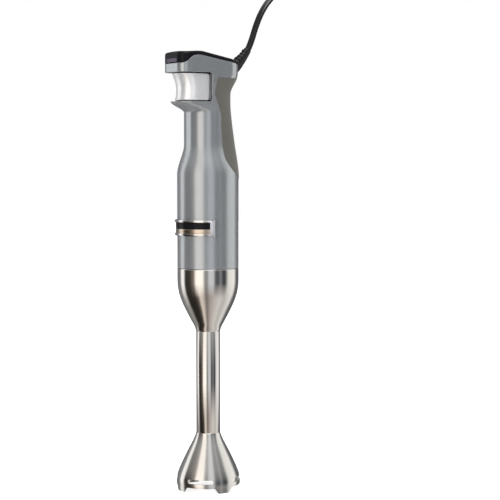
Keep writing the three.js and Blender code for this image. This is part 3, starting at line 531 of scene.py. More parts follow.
def plug_spot(u, v):
    along, half = PLUG_PROFILE[round(v * plug_rows)]
    turn = 2 * math.pi * u
    tall = min(half * 0.96, PLUG_TALL / 2 * mix(0.75, 1.0, clamp(along / 12)))
    a = math.copysign(abs(math.cos(turn)) ** PLUG_SQUARE, math.cos(turn)) * half
    b = math.copysign(abs(math.sin(turn)) ** PLUG_SQUARE, math.sin(turn)) * tall
    q = PLUG_REAR + along
    return across * (PLUG_U + a) + away * q + Vector((0, 0, PLUG_BASE + PLUG_TALL / 2 + b))


plug = rolled("moulded_plug", 48, plug_rows, plug_spot)
soften = plug.modifiers.new("fine", "SUBSURF")
soften.levels = soften.render_levels = 1
finished(plug, cord_finish, "handle", ("plug_body",), 50)
prong_metal = Finish("prong_metal", Metallic=1.0)
lines = prong_metal.noise(prong_metal.place((3000, 3000, 300)), 1.0, 2)
prong_metal.tint(lines, (0.66, 0.6, 0.45), (0.78, 0.72, 0.56))
prong_metal.feed("Roughness", lines * 0.1 + 0.2)
for side, sign in (("left", -1), ("right", 1)):
    bpy.ops.object.select_all(action="DESELECT")
    bpy.ops.mesh.primitive_cube_add(size=1, location=(0, 0, 0))
    prong = bpy.context.object
    prong.name = f"prong_{side}"
    for vertex in prong.data.vertices:
        a, q, z = vertex.co
        tip = PRONG_TIP if q > 0 else 1.0
        spot = across * (PLUG_U + PRONG_OUT * sign + PRONG_THICK * a)
        spot += away * (PLUG_NOSE + 8.3 + PRONG_LONG * q)
        spot += UP * (PLUG_BASE + PLUG_TALL / 2 + PRONG_WIDE * z * tip)
        vertex.co = spot * MM + SHAFT
    rounded(prong, 0.3, 3)
    finished(prong, prong_metal, "handle", (f"plug_prong_{side}",))

# ---- Blending arm ---------------------------------------------------------------------------
# Drawn stainless steel: a cup under the seam, a straight tube and the bell guard, polished
# after a fine brushing round the shaft, so the studio stands in it as upright streaks.
STEEL = 1.3
TUBE_RADIUS = 11.4
BODY_RADIUS = 29.0
BELL_TOP = 54.0
TUBE_TOP = 150.5
SEAM = 210.5


def brushed(name, tint, roughness):
    """Stainless steel with fine lines round the shaft and a few faint scuffs."""
    finish = Finish(name, Metallic=1.0, IOR=2.5)
    lines = finish.noise(finish.place((30, 30, 5200)), 1.0, 2)
    clouds = finish.noise(finish.place(), 45, 3)
    scuffs = finish.noise(finish.place((900, 900, 120)), 1.0, 4, 0.7)
    dark = tuple(0.93 * one for one in tint)
    finish.tint(lines * 0.5 + clouds * 0.5, dark, tint)
    finish.feed("Roughness", lines * 0.05 + clouds * 0.03 + scuffs * 0.04 + roughness)
    finish.bump(lines, 0.000012)
    return finish


stainless = brushed("stainless_steel", (0.90, 0.885, 0.865), 0.085)


def turned(name, line, steps=144, angle=360, start=0.0):
    """A closed line of (radius, height) points in millimetres, spun about the shaft.

    The start is in degrees from the front towards +X.
    """
    out = Vector((math.sin(math.radians(start)), -math.cos(math.radians(start)), 0))
    points = [out * (r * MM) + Vector((0, 0, z * MM)) + SHAFT for r, z in line]
    bpy.ops.object.select_all(action="DESELECT")
    bpy.ops.mesh.primitive_plane_add(size=MM, location=points[0])
    piece = bpy.context.object
    piece.name = name
    bpy.ops.object.mode_set(mode="EDIT")
    bpy.ops.mesh.merge(type="CENTER")
    for here, there in zip(points, points[1:]):
        bpy.ops.mesh.extrude_region_move(TRANSFORM_OT_translate={"value": there - here})
    bpy.ops.mesh.select_all(action="SELECT")
    bpy.ops.mesh.spin(
        steps=steps, angle=-math.radians(angle), center=SHAFT, axis=(0, 0, 1), dupli=False
    )
    bpy.ops.mesh.select_all(action="SELECT")
    bpy.ops.mesh.remove_doubles(threshold=2e-6)
    bpy.ops.mesh.normals_make_consistent(inside=False)
    bpy.ops.object.mode_set(mode="OBJECT")
    return piece


def wall(line, thick, edge=0.25):
    """The closed outline of a wall inside a line, with small rounds on its two rims."""
    inner = [(r - thick, z) for r, z in reversed(line)]
    (r0, z0), (r1, z1) = line[0], line[-1]
    up = 1 if z1 > z0 else -1
    foot = [(r0 - thick + edge, z0), (r0 - edge, z0)]
    rim = [(r1 - edge, z1), (r1 - thick + edge, z1)]
    outer = [(r0, z0 + up * edge), *line[1:-1], (r1, z1 - up * edge)]
    inner = [(r1 - thick, z1 - up * edge), *inner[1:-1], (r0 - thick, z0 + up * edge)]
    closed = [*foot, *outer, *rim, *inner]
    return [*closed, closed[0]]


def curved(points, spacing):
    """A smooth line through (radius, height) points."""
    line = smooth_line([(r, z, 0) for r, z in points], spacing)
    return [(point.x, point.y) for point in line]


CUP = [
    (11.45, 150.5), (12.6, 154.5), (15.8, 160.5), (20.0, 168.5), (24.4, 177.8), (27.4, 186.5),
    (28.8, 195.0), (29.0, 201.5), (29.0, 210.5),
]
cup = turned("arm_cup_shell", wall(curved(CUP, 1.6), STEEL), 160)
finished(cup, stainless, "arm", ("arm_cup",), 50)
TUBE = [(TUBE_RADIUS, BELL_TOP - 1), (TUBE_RADIUS, 100), (TUBE_RADIUS, TUBE_TOP + 1)]
tube = turned("arm_tube_shell", wall(TUBE, STEEL), 128)
finished(tube, stainless, "arm", ("arm_tube",), 50)

# ---- Bell guard -----------------------------------------------------------------------------
# The flared end of the arm. Four arches leave four feet, and a slot above each arch lets the
# food turn out sideways, with a thin bright strip of steel between slot and arch.
BELL = [
    (30.0, 0.0), (30.05, 1.6), (30.1, 3.2), (30.15, 4.9), (30.25, 7.0), (30.25, 9.0),
    (30.1, 10.9), (29.7, 12.9), (28.9, 15.7), (27.6, 19.4), (25.6, 24.0), (23.1, 29.4),
    (20.4, 35.0), (17.5, 40.6), (14.6, 46.0), (12.6, 50.4), (11.75, 52.8), (11.5, 54.0),
]
COLUMN = 5.0  # degrees of the round in one column of faces
FIRST_FOOT = -5.5
FOOT_HALF = 15.0
FOOT_TAPER = (0.74, 1.2)  # how much narrower a foot is at its end, and wider at its root
ARCH_ROWS = 4.9
SLOT_ROWS = (9.0, 12.9)
SLOT_HALF = 25.0
bell_sides = round(360 / COLUMN)
bell_columns = len(BELL) - 1


def bell_spot(u, v):
    radius, height = BELL[round(v * bell_columns)]
    from_foot = (FOOT_HALF + 360 * u + 45) % 90 - 45
    widened = 0.0
    if abs(from_foot) < FOOT_HALF + 0.1 and height < SLOT_ROWS[0]:
        taper = mix(*FOOT_TAPER, (min(height, ARCH_ROWS) / ARCH_ROWS) ** 1.4)
        widened = from_foot * (taper - 1) * (1.0 if height < 5 else 0.5)
    angle = math.radians(FIRST_FOOT + FOOT_HALF + 360 * u + widened)
    return radius * math.sin(angle), -radius * math.cos(angle), height


def in_bell_opening(middle):
    round_from_foot = math.degrees(math.atan2(middle.x, -middle.y)) - FIRST_FOOT
    from_arch = abs(round_from_foot % 90 - 45)
    in_arch = middle.z < ARCH_ROWS and from_arch < 45 - FOOT_HALF
    in_slot = SLOT_ROWS[0] < middle.z < SLOT_ROWS[1] and from_arch < SLOT_HALF
    return in_arch or in_slot


def cut_away(piece, in_opening):
    """Deletes the faces whose middle, in millimetres about the shaft, is in the opening."""
    bpy.ops.object.mode_set(mode="EDIT")
    bpy.ops.mesh.select_mode(type="FACE")
    bpy.ops.mesh.select_all(action="DESELECT")
    bpy.ops.object.mode_set(mode="OBJECT")
    for face in piece.data.polygons:
        face.select = in_opening((face.center - SHAFT) / MM)
    bpy.ops.object.mode_set(mode="EDIT")
    bpy.ops.mesh.delete(type="FACE")
    bpy.ops.mesh.select_mode(type="VERT")


bell = rolled("bell_guard_shell", bell_sides, bell_columns, bell_spot, False)
cut_away(bell, in_bell_opening)
bpy.ops.mesh.select_all(action="SELECT")
bpy.ops.mesh.normals_make_consistent(inside=False)
bpy.ops.object.mode_set(mode="OBJECT")
top_face = bell.data.polygons[-1]
facing(bell, top_face, top_face.center - SHAFT)
thickness = thickened(bell, STEEL)
thickness.edge_crease_rim = 0.0
thickness.edge_crease_inner = thickness.edge_crease_outer = 0.75
refine = bell.modifiers.new("fine", "SUBSURF")
refine.levels = refine.render_levels = 2
finished(bell, stainless, "arm", ("bell_guard",), 60)

# ---- Blade ----------------------------------------------------------------------------------
# A two-winged ground steel blade on its hub, held by a nut. Each wing is bent. It turns inside
# the bell.
ground_steel = brushed("ground_steel", (0.62, 0.625, 0.64), 0.2)
hub_low, hub_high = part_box("blade_hub")
HUB_RADIUS = 6.0
BLADE_HALF = 20.5
BLADE_ROOT = 4.6
BLADE_WIDE = 5.4
BLADE_POINT = 2.6  # narrower at the tips
BLADE_SWEEP = 1.6
BLADE_BEND = 1.1
BLADE_THICK = 1.5
NUT_RADIUS = 4.5
HUB_BASE = hub_low.z / MM
HUB_TOP = hub_high.z / MM
hub = turned(
    "blade_hub_body",
    [
        (0, HUB_BASE), (HUB_RADIUS - 0.6, HUB_BASE), (HUB_RADIUS, HUB_BASE + 0.6),
        (HUB_RADIUS, HUB_BASE + 5), (HUB_RADIUS - 0.8, HUB_BASE + 5.8),
        (HUB_RADIUS - 0.8, HUB_TOP - 1.2), (HUB_RADIUS - 1.8, HUB_TOP), (0, HUB_TOP),
    ],
    64,
)
finished(hub, ground_steel, "blade_shaft", ("blade_hub",))
BLADE_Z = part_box("blade")[0].z / MM


def blade_spot(u, v):
    """u runs from one tip to the other, v from the leading edge to the trailing one."""
    reach = (2 * u - 1) * BLADE_HALF
    side = 1 if reach >= 0 else -1
    share = abs(reach) / BLADE_HALF
    half = mix(BLADE_ROOT, BLADE_WIDE, min(1, share * 1.4))
    half -= BLADE_POINT * max(0, share - 0.86) / 0.14
    lean = BLADE_SWEEP * max(0, share - 0.3) * side
    bend = BLADE_BEND * max(0, share - 0.4) ** 2 * side
    return reach, (2 * v - 1) * half + lean, BLADE_Z + BLADE_THICK - bend


blade = rolled("blade_wings", 48, 10, blade_spot, False)
facing(blade, blade.data.polygons[0], UP)
thickened(blade, 1.2)
rounded(blade, 0.5, 2)
finished(blade, ground_steel, "blade_shaft", ("blade",))
nut_low, nut_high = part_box("blade_nut")
bpy.ops.object.select_all(action="DESELECT")
bpy.ops.mesh.primitive_cylinder_add(
    vertices=6,
    radius=NUT_RADIUS * MM,
    depth=nut_high.z - nut_low.z,
    location=SHAFT + Vector((0, 0, (nut_low.z + nut_high.z) / 2)),
)
nut = bpy.context.object
nut.name = "blade_nut_hex"
rounded(nut, 0.35, 2)
finished(nut, ground_steel, "blade_shaft", ("blade_nut",))

# ---- Handle housing -------------------------------------------------------------------------
# Moulded shell in satin silver-grey paint: round body, waisted neck, a guard shelf, and a head
# over the trigger's bay. The bay is cut through both sides, and its edges are rounded.
SHOULDER = 299.0
NECK = 328.0
GUARD = 357.0
BAY = 366.8
HEAD = 393.7
HEAD_TOP = 413.2
FLARE = BAY + 0.27 * (HEAD - BAY)
NECK_HALF = 21.0
NECK_FRONT = 21.9
WAIST_REAR = 20.3
GUARD_FRONT = 38.6
GUARD_HALF = 15.0
GUARD_CORNER = 14.0
HEAD_FRONT = 40.6
HEAD_REAR = 25.8
HEAD_HALVES = (18.0, 21.5)  # front and rear half width, then the corners' radii
HEAD_CORNERS = (9.5, 13.0)
BAY_EDGE = 8.0  # the bay's rear edge, in front of the shaft
BAY_CORNER = 3.0
HEAD_NOSE = HEAD_TOP - 11.6  # the seam at the nose
SWEEP_START = -39.6  # the seam rises from here to there
SWEEP_END = -24.0
COVER_SIDE = 3.8  # height of the cover's side behind the nose
SEAM_FALL = (-20.0, 0.1754)  # where the seam and the roof begin to fall, and how steeply
ROOF_FALL = (-18.0, 0.19)


def handle_section(z):
    """Front and rear reach, front and rear half width, front and rear corner radius."""
    slim = ease((z - SHOULDER) / (NECK - SHOULDER))
    to_waist = clamp((z - SHOULDER) / (GUARD + 0.7 * (BAY - GUARD) - SHOULDER))
    back = (ease(to_waist) + to_waist) / 2
    guard = ease((z - GUARD) / (BAY - GUARD))
    head = ease((z - FLARE) / (HEAD - FLARE))
    front = mix(mix(BODY_RADIUS, NECK_FRONT, slim), GUARD_FRONT, guard)
    half = mix(BODY_RADIUS, NECK_HALF, slim)
    corner = mix(BODY_RADIUS, WAIST_REAR - 1, slim)
    return (
        mix(front, HEAD_FRONT, head),
        mix(mix(BODY_RADIUS, WAIST_REAR, back), HEAD_REAR, head),
        mix(mix(half, GUARD_HALF, guard), HEAD_HALVES[0], head),
        mix(half, HEAD_HALVES[1], head),
        mix(mix(corner, GUARD_CORNER, guard), HEAD_CORNERS[0], head),
        mix(corner, HEAD_CORNERS[1], head),
    )


def half_outline(section, inset=0.0, count=720):
    """Points of the section's right half, from the front centre round to the rear centre."""
    front, rear, half_front, half_rear, corner_front, corner_rear = section
    points = []
    for k in range(count + 1):
        angle = -math.pi / 2 + math.pi * k / count
        nx, ny = math.cos(angle), math.sin(angle)
        fore = (half_front - corner_front, corner_front - front, corner_front)
        back = (half_rear - corner_rear, rear - corner_rear, corner_rear)
        x, y, r = max(fore, back, key=lambda one: one[0] * nx + one[1] * ny + one[2])
        r = max(0.3, r - inset) if inset else r
        points.append((x + r * nx if 0 < k < count else 0.0, y + r * ny))
    first = (0.0, points[0][1])
    return [first, *points, (0.0, points[-1][1])]


def along_outline(points, stops_at):
    """The outline's points at even steps between the given shares of it.

    stops_at holds (test, steps) pairs: each stretch ends at the first point that passes.
    """
    lengths = [0.0]
    for (x0, y0), (x1, y1) in zip(points, points[1:]):
        lengths.append(lengths[-1] + math.hypot(x1 - x0, y1 - y0))
    found = []
    start = 0.0
    for reach, steps in stops_at:
        end = lengths[-1]
        if reach is not None:
            axis, limit = reach
            for k in range(1, len(points)):
                a, b = points[k - 1][axis], points[k][axis]
                if a < limit <= b and lengths[k] > start:
                    end = mix(lengths[k - 1], lengths[k], (limit - a) / (b - a))
                    break
        found += [mix(start, end, k / steps) for k in range(steps)]
        start = end
    found.append(lengths[-1])
    placed = []
    k = 1
    for at in found:
        while k < len(lengths) - 1 and lengths[k] < at:
            k += 1
        span = lengths[k] - lengths[k - 1]
        t = clamp((at - lengths[k - 1]) / span) if span else 0.0
        (x0, y0), (x1, y1) = points[k - 1], points[k]
        placed.append((mix(x0, x1, t), mix(y0, y1, t)))
    return placed


def sweep(t, start, first, second, end):
    """A cubic curve's value at the share t."""
    near, far = 1 - t, t
    return start * near**3 + 3 * first * near**2 * far + 3 * second * near * far**2 + end * far**3


def seam_height(y):
    """The lower edge of the black cover: low round the nose, then sweeping up to the top."""
    low, high = HEAD_NOSE, HEAD_TOP - COVER_SIDE
    if y <= SWEEP_START:
        return low
    if y >= SWEEP_END:
        return high - max(0.0, y - SEAM_FALL[0]) * SEAM_FALL[1]
    near, far = 0.0, 1.0
    for _ in range(30):
        t = (near + far) / 2
        if sweep(t, SWEEP_START, SWEEP_START + 6, SWEEP_END - 7, SWEEP_END) < y:
            near = t
        else:
            far = t
    return sweep(t, low, low, high - 0.2, high)


def top_height(y, lowered=0.0):
    return HEAD_TOP - lowered - max(0.0, y - ROOF_FALL[0]) * ROOF_FALL[1]


FRONT_COLUMNS = 26
REAR_COLUMNS = 40
half_columns = FRONT_COLUMNS + REAR_COLUMNS
near_edges = [0.12, 0.5, 1.1, 1.9, 3.0]
housing_levels = [
    SEAM + 0.3, SEAM + 0.5, SEAM + 1.2, 226, 245, 265, 280, 290, 296,
    *[SHOULDER + k * 2 for k in range(15)], 331, 337, 343, 349, 354,
    *[GUARD + k * 0.98 for k in range(10)], BAY,
    *[BAY + dz for dz in near_edges], 371.5, 374, 377, 380, 383, 386, 388.5,
    *[HEAD - dz for dz in reversed(near_edges)], HEAD,
]
HEAD_ROWS = 7
housing_outlines = []
for z in housing_levels:
    edge = BAY_CORNER
    near = min(abs(z - BAY), abs(HEAD - z))
    if BAY <= z <= HEAD and near < edge:
        edge_y = -BAY_EDGE - (edge - math.sqrt(edge**2 - (edge - near) ** 2))
    elif BAY <= z <= HEAD:
        edge_y = -BAY_EDGE
    else:
        edge_y = -BAY_EDGE - edge
    stretches = [((1, edge_y), FRONT_COLUMNS), (None, REAR_COLUMNS)]
    housing_outlines.append(along_outline(half_outline(handle_section(z)), stretches))
housing_rows = len(housing_levels) - 1 + HEAD_ROWS


def round_outline(outline, u):
    """A point of a right-half outline or of its mirror; u runs from rear to rear."""
    k = round(u * 2 * half_columns)
    if k <= half_columns:
        return outline[half_columns - k]
    x, y = outline[k - half_columns]
    return -x, y


def housing_spot(u, v):
    row = round(v * housing_rows)
    level = min(row, len(housing_levels) - 1)
    x, y = round_outline(housing_outlines[level], u)
    z = housing_levels[level]
    if row > level:
        z = mix(HEAD, seam_height(y), (row - level) / HEAD_ROWS)
    return x, y, z


bay_outline = {round(z, 3): outline for z, outline in zip(housing_levels, housing_outlines)}
bay_levels = [z for z in housing_levels if BAY <= z <= HEAD]


def in_bay(middle):
    if not BAY < middle.z < HEAD:
        return False
    level = min(bay_levels, key=lambda z: abs(z - middle.z))
    return middle.y < bay_outline[round(level, 3)][FRONT_COLUMNS][1]


housing = rolled("handle_housing", 2 * half_columns, housing_rows, housing_spot)
cut_away(housing, in_bay)
for z in (BAY, HEAD):
    bpy.ops.mesh.select_all(action="DESELECT")
    bpy.ops.object.mode_set(mode="OBJECT")
    for vertex in housing.data.vertices:
        spot = (vertex.co - SHAFT) / MM
        vertex.select = abs(spot.z - z) < 0.01 and spot.y < -BAY_EDGE - BAY_CORNER + 0.01
    bpy.ops.object.mode_set(mode="EDIT")
    bpy.ops.mesh.edge_face_add()
bpy.ops.mesh.select_all(action="SELECT")
bpy.ops.mesh.normals_make_consistent(inside=False)
bpy.ops.object.mode_set(mode="OBJECT")
lowest_face = min(housing.data.polygons, key=lambda face: face.center.z)
facing(housing, lowest_face, lowest_face.center - SHAFT)
thickened(housing, 1.8)
rounded(housing, 0.55, 3, 50)


def painted(name, tint):
    """Satin silver paint: fine metal flake under a soft clear coat."""
    finish = Finish(name, Metallic=0.8, Coat_Weight=0.25, Coat_Roughness=0.14, Coat_IOR=1.5)
    flake = finish.noise(finish.place(), 5200, 1)
    cloud = finish.noise(finish.place(), 60, 2)
    low = tuple(0.86 * one for one in tint)
    finish.tint(flake, low, tint)
    finish.feed("Roughness", flake * 0.06 + cloud * 0.03 + 0.185)
    finish.bump(flake, 0.000012, 0.6)
    return finish


silver_paint = painted("silver_paint", (0.46, 0.485, 0.51))
finished(housing, silver_paint, "handle", ("main_housing",), 40)

# ---- Rear grip ------------------------------------------------------------------------------
# Soft-touch panel moulded over the back of the neck, down to a point behind the body. It
# stands a hair proud of the paint, with a rounded edge.
GRIP_EDGE = [
    (293.5, 28.4), (295.0, 22.5), (299.5, 15.0), (305.0, 8.0), (313.0, 3.0), (326.0, 2.4),
    (342.0, 1.0), (356.0, 0.5), (366.0, -3.0), (374.0, -5.7), (382.0, -4.2), (388.9, -2.0),
]
GRIP_PROUD = 0.3
grip_line = smooth_line([(z, y, 0) for z, y in GRIP_EDGE], 1.0)
GRIP_COLUMNS = 56
grip_arcs = []
for point in grip_line:
    outline = half_outline(handle_section(point.x), -GRIP_PROUD)
    side = along_outline(outline, [((1, point.y), 4), (None, GRIP_COLUMNS // 2)])[4:]
    grip_arcs.append((point.x, side))
grip_rows = len(grip_arcs) - 1


def grip_spot(u, v):
    z, side = grip_arcs[round(v * grip_rows)]
    k = round(u * GRIP_COLUMNS) - GRIP_COLUMNS // 2
    x, y = side[len(side) - 1 - abs(k)]
    return (x if k < 0 else -x), y, z


grip = rolled("rear_grip_panel", GRIP_COLUMNS, grip_rows, grip_spot, False)
middle_face = grip.data.polygons[len(grip.data.polygons) // 2]
facing(grip, middle_face, middle_face.center - SHAFT)
thickened(grip, 1.2)
rounded(grip, 0.3, 3, 50)
soft_touch = Finish("soft_touch_grey", Specular_IOR_Level=0.35, Sheen_Weight=0.15)
skin = soft_touch.noise(soft_touch.place(), 2600, 3)
cloud = soft_touch.noise(soft_touch.place(), 70, 2)
soft_touch.tint(skin * 0.5 + cloud * 0.5, (0.055, 0.053, 0.046), (0.082, 0.079, 0.069))
soft_touch.feed("Roughness", skin * 0.12 + 0.52)
soft_touch.bump(skin, 0.00003)
finished(grip, soft_touch, "handle", ("rear_grip",), 50)

# ---- Top cover ------------------------------------------------------------------------------
# Glossy black cover that wraps the nose and runs back over the head. Its front holds the
# opening for the lock button.
COVER_ROUND = 2.6
COVER_CROWN = 1.1  # at the nose, the roof's middle above its rim
CROWN_END = -37.0  # it fades out from here, over this length
CROWN_FADE = 15.0
SPINE = (-34.0, 12.0)  # the roof's faces close on this line along its middle
BUTTON_LOW = HEAD_NOSE + 1.0
BUTTON_TALL = 3.7
BUTTON_HALF = 8.0
BUTTON_ROOM = 0.35
NOSE_FACE = -39.0  # only faces in front of this are on the nose
NOSE_COLUMNS = 10
cover_section = handle_section(HEAD)
cover_stretches = [((0, BUTTON_HALF + BUTTON_ROOM), NOSE_COLUMNS), (None, 62)]
cover_half = along_outline(half_outline(cover_section), cover_stretches)
nose_low, nose_high = HEAD_NOSE + 0.3, HEAD_TOP - COVER_ROUND - COVER_CROWN
hole_low = (BUTTON_LOW - BUTTON_ROOM - nose_low) / (nose_high - nose_low)
hole_high = (BUTTON_LOW + BUTTON_TALL + BUTTON_ROOM - nose_low) / (nose_high - nose_low)
side_shares = [0, 0.04, hole_low, 0.3, 0.5, hole_high, 0.8, 1.0]
edge_turns = [math.radians(turn) for turn in (12, 26, 42, 58, 74, 90)]
roof_shares = [0.06, 0.18, 0.36, 0.6, 0.82, 1.0]
cover_half_columns = len(cover_half) - 1


def crown(y):
    """The roof's rise over its rim, which fades out behind the nose."""
    return COVER_CROWN * (1 - ease((y - CROWN_END) / CROWN_FADE))


def spine_under(y):
    return min(SPINE[1], max(SPINE[0], y))


cover_rows = len(side_shares) + len(edge_turns) + len(roof_shares) - 1


def cover_spot(u, v):
    k = round(u * 2 * cover_half_columns)
    row = round(v * cover_rows)
    side = 1 if k <= cover_half_columns else -1
    x, y = cover_half[abs(cover_half_columns - k)]
    run = y - spine_under(y)
    nx, ny = x / math.hypot(x, run), run / math.hypot(x, run)
    if row < len(side_shares):
        low, high = seam_height(y) + 0.3, top_height(y, COVER_ROUND + crown(y))
        return side * x, y, mix(low, high, side_shares[row])
    row -= len(side_shares)
    if row < len(edge_turns):
        turn = edge_turns[row]
        inward = COVER_ROUND * (1 - math.cos(turn))
        x, y = x - nx * inward, y - ny * inward
        return side * x, y, top_height(y, COVER_ROUND * (1 - math.sin(turn)) + crown(y))
    share = roof_shares[row - len(edge_turns)]
    x, y = x - nx * COVER_ROUND, y - ny * COVER_ROUND
    x, y = x * (1 - share), mix(y, spine_under(y), share)
    return side * x, y, top_height(y, crown(y) * (1 - share) ** 2)


def in_button_hole(middle):
    across_hole = abs(middle.x) < BUTTON_HALF + BUTTON_ROOM and middle.y < NOSE_FACE
    up_hole = BUTTON_LOW - BUTTON_ROOM < middle.z < BUTTON_LOW + BUTTON_TALL + BUTTON_ROOM
    return across_hole and up_hole


cover = rolled("head_top_cover", 2 * cover_half_columns, cover_rows, cover_spot)
cut_away(cover, in_button_hole)
bpy.ops.object.mode_set(mode="OBJECT")
facing(cover, max(cover.data.polygons, key=lambda face: face.center.z), UP)
thickened(cover, 1.6)
rounded(cover, 0.25, 2, 50)


def glossy(name, tint, rough):
    """Moulded gloss plastic with the faint waviness of a polished mould."""
    finish = Finish(name, Specular_IOR_Level=0.12)
    wave = finish.noise(finish.place(), 160, 2)
    grain = finish.noise(finish.place(), 3000, 2)
    light = tuple(one * 1.3 + 0.001 for one in tint)
    finish.tint(wave, tint, light)
    finish.feed("Roughness", grain * 0.05 + wave * 0.03 + rough)
    finish.bump(grain, 0.000008, 0.5)
    return finish


black_gloss = glossy("black_gloss", (0.004, 0.004, 0.005), 0.12)
finished(cover, black_gloss, "handle", ("top_cover",), 40)

# ---- Trigger --------------------------------------------------------------------------------
# Satin-chromed trigger, hollowed in like an hourglass for the fingers, closed at its top and
# bottom. Its sides run back inside the shell, and it slides 5 mm into the bay.
TRIGGER_ROOM = 1.0
TRIGGER_LOW = BAY + TRIGGER_ROOM
TRIGGER_HIGH = HEAD - TRIGGER_ROOM
TRIGGER_HALF = 17.2
TRIGGER_SKIRT = 3.0
TRIGGER_ROUND = 0.9
WAIST_AT = 0.42
TRIGGER_BROW = 37.0
TRIGGER_WAIST = 32.0
TRIGGER_FOOT = 33.8


def trigger_section(z):
    """As handle_section gives it, for the hollow front."""
    t = (z - TRIGGER_LOW) / (TRIGGER_HIGH - TRIGGER_LOW)
    end = TRIGGER_FOOT if t < WAIST_AT else TRIGGER_BROW
    off = (WAIST_AT - t) / WAIST_AT if t < WAIST_AT else (t - WAIST_AT) / (1 - WAIST_AT)
    front = mix(TRIGGER_WAIST, end, off**1.8)
    return (front, TRIGGER_SKIRT, GUARD_HALF, TRIGGER_HALF, GUARD_CORNER, 1.0)


TRIGGER_COLUMNS = 88
PLATE_REAR = -9.4  # the bright plate ends here, a step before the bay's edge
PLATE_CORNER = 3.0
PLATE_STEP = 1.6
PLATE_EASE = 1.1
trigger_turns = [math.radians(turn) for turn in (0, 15, 30, 45, 60, 75, 90)]
trigger_levels = [
    (TRIGGER_LOW + TRIGGER_ROUND * (1 - math.cos(turn)), TRIGGER_ROUND * (1 - math.sin(turn)))
    for turn in trigger_turns
]
trigger_levels = [
    (TRIGGER_LOW, 4.0),
    *trigger_levels,
    *[(mix(TRIGGER_LOW, TRIGGER_HIGH, k / 16), 0.0) for k in range(1, 16)],
    *[(TRIGGER_LOW + TRIGGER_HIGH - z, inset) for z, inset in reversed(trigger_levels)],
    (TRIGGER_HIGH, 4.0),
]
trigger_rows = len(trigger_levels) - 1
trigger_sides = []
for z, inset in trigger_levels:
    outline = half_outline(trigger_section(z))
    stretches = [((1, -TRIGGER_SKIRT), TRIGGER_COLUMNS), (None, 1)]
    side = along_outline(outline, stretches)[: TRIGGER_COLUMNS + 1]
    shifted = []
    for k, (x, y) in enumerate(side):
        (x0, y0), (x1, y1) = side[max(0, k - 1)], side[min(len(side) - 1, k + 1)]
        run = math.hypot(x1 - x0, y1 - y0)
        inward = (-(y1 - y0) / run * inset, (x1 - x0) / run * inset)
        shifted.append((max(0.0, x + inward[0]), y + inward[1]))
    shifted[0] = (0.0, side[0][1] + inset)
    near = min(z - TRIGGER_LOW, TRIGGER_HIGH - z, PLATE_CORNER)
    rounding = math.sqrt(PLATE_CORNER**2 - (PLATE_CORNER - near) ** 2)
    plate_end = PLATE_REAR - PLATE_CORNER + rounding
    sunk = [(x - PLATE_STEP * ease((y - plate_end) / PLATE_EASE), y) for x, y in shifted]
    trigger_sides.append(sunk)


def trigger_spot(u, v):
    row = round(v * trigger_rows)
    k = round(u * 2 * TRIGGER_COLUMNS) - TRIGGER_COLUMNS
    x, y = trigger_sides[row][abs(k)]
    return (x if k > 0 else -x), y, trigger_levels[row][0]


trigger = rolled("trigger_cap", 2 * TRIGGER_COLUMNS, trigger_rows, trigger_spot, False)
facing(trigger, min(trigger.data.polygons, key=lambda face: face.center.y), Vector((0, -1, 0)))
thickened(trigger, 1.2)
satin_chrome = Finish("satin_chrome", Metallic=0.74, IOR=2.0)
haze = satin_chrome.noise(satin_chrome.place(), 420, 3)
grain = satin_chrome.noise(satin_chrome.place(), 4200, 2)
satin_chrome.tint(haze, (0.90, 0.91, 0.94), (0.96, 0.965, 0.98))
satin_chrome.feed("Roughness", haze * 0.05 + grain * 0.05 + 0.27)
satin_chrome.bump(grain, 0.000008)
finished(trigger, satin_chrome, "trigger", ("trigger_shell",), 50)

# ---- Lock button ----------------------------------------------------------------------------
# Smoke-tinted gloss button in the nose, moulded with a shallow finger hollow. A spring pushes it
# out, and it goes in by 2 mm.
button_low, button_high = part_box("lock_button")
bpy.ops.object.select_all(action="DESELECT")
bpy.ops.mesh.primitive_cube_add(size=1, location=(button_low + button_high) / 2)
button = bpy.context.object
button.name = "lock_button_lens"
button.scale = button_high - button_low
bpy.ops.object.transform_apply(location=False, rotation=False, scale=True)
bpy.ops.object.mode_set(mode="EDIT")
bpy.ops.mesh.select_all(action="SELECT")
bpy.ops.mesh.subdivide(number_cuts=1)
bpy.ops.mesh.select_all(action="DESELECT")
bpy.ops.object.mode_set(mode="OBJECT")
for face in button.data.polygons:
    face.select = face.normal.y < -0.9
bpy.ops.object.mode_set(mode="EDIT")
bpy.ops.mesh.inset(thickness=0.7 * MM, depth=0)
bpy.ops.mesh.inset(thickness=0.25 * MM, depth=-0.18 * MM)
bpy.ops.object.mode_set(mode="OBJECT")
rounded(button, 0.4, 3, 40)
smoke = glossy("smoke_lens", (0.055, 0.045, 0.065), 0.2)
finished(button, smoke, "lock_button", ("lock_button",))

# ---- Badge ----------------------------------------------------------------------------------
# A plain raised badge round the front of the body: a stepped chrome frame with a taller clip
# at each end, a black field above and a champagne strip below. It carries no lettering.
badge_low, badge_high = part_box("badge_frame")
BADGE_BASE = badge_low.z / MM
BADGE_TALL = (badge_high - badge_low).z / MM
BADGE_HALF = 67.5
BADGE_PROUD = 2.4
BADGE_RIM = 1.9
BADGE_CLIP = 6.0
BADGE_SPLIT = 0.44 * BADGE_TALL
BADGE_FOOT = BODY_RADIUS - 0.3
# A rail is two bars, one on the other: each one's edges in from the frame's, and how deep it is.
RAIL_BARS = ((0.5, BADGE_RIM + 0.3, 0.5), (1.1, BADGE_RIM + 0.9, 0.1))


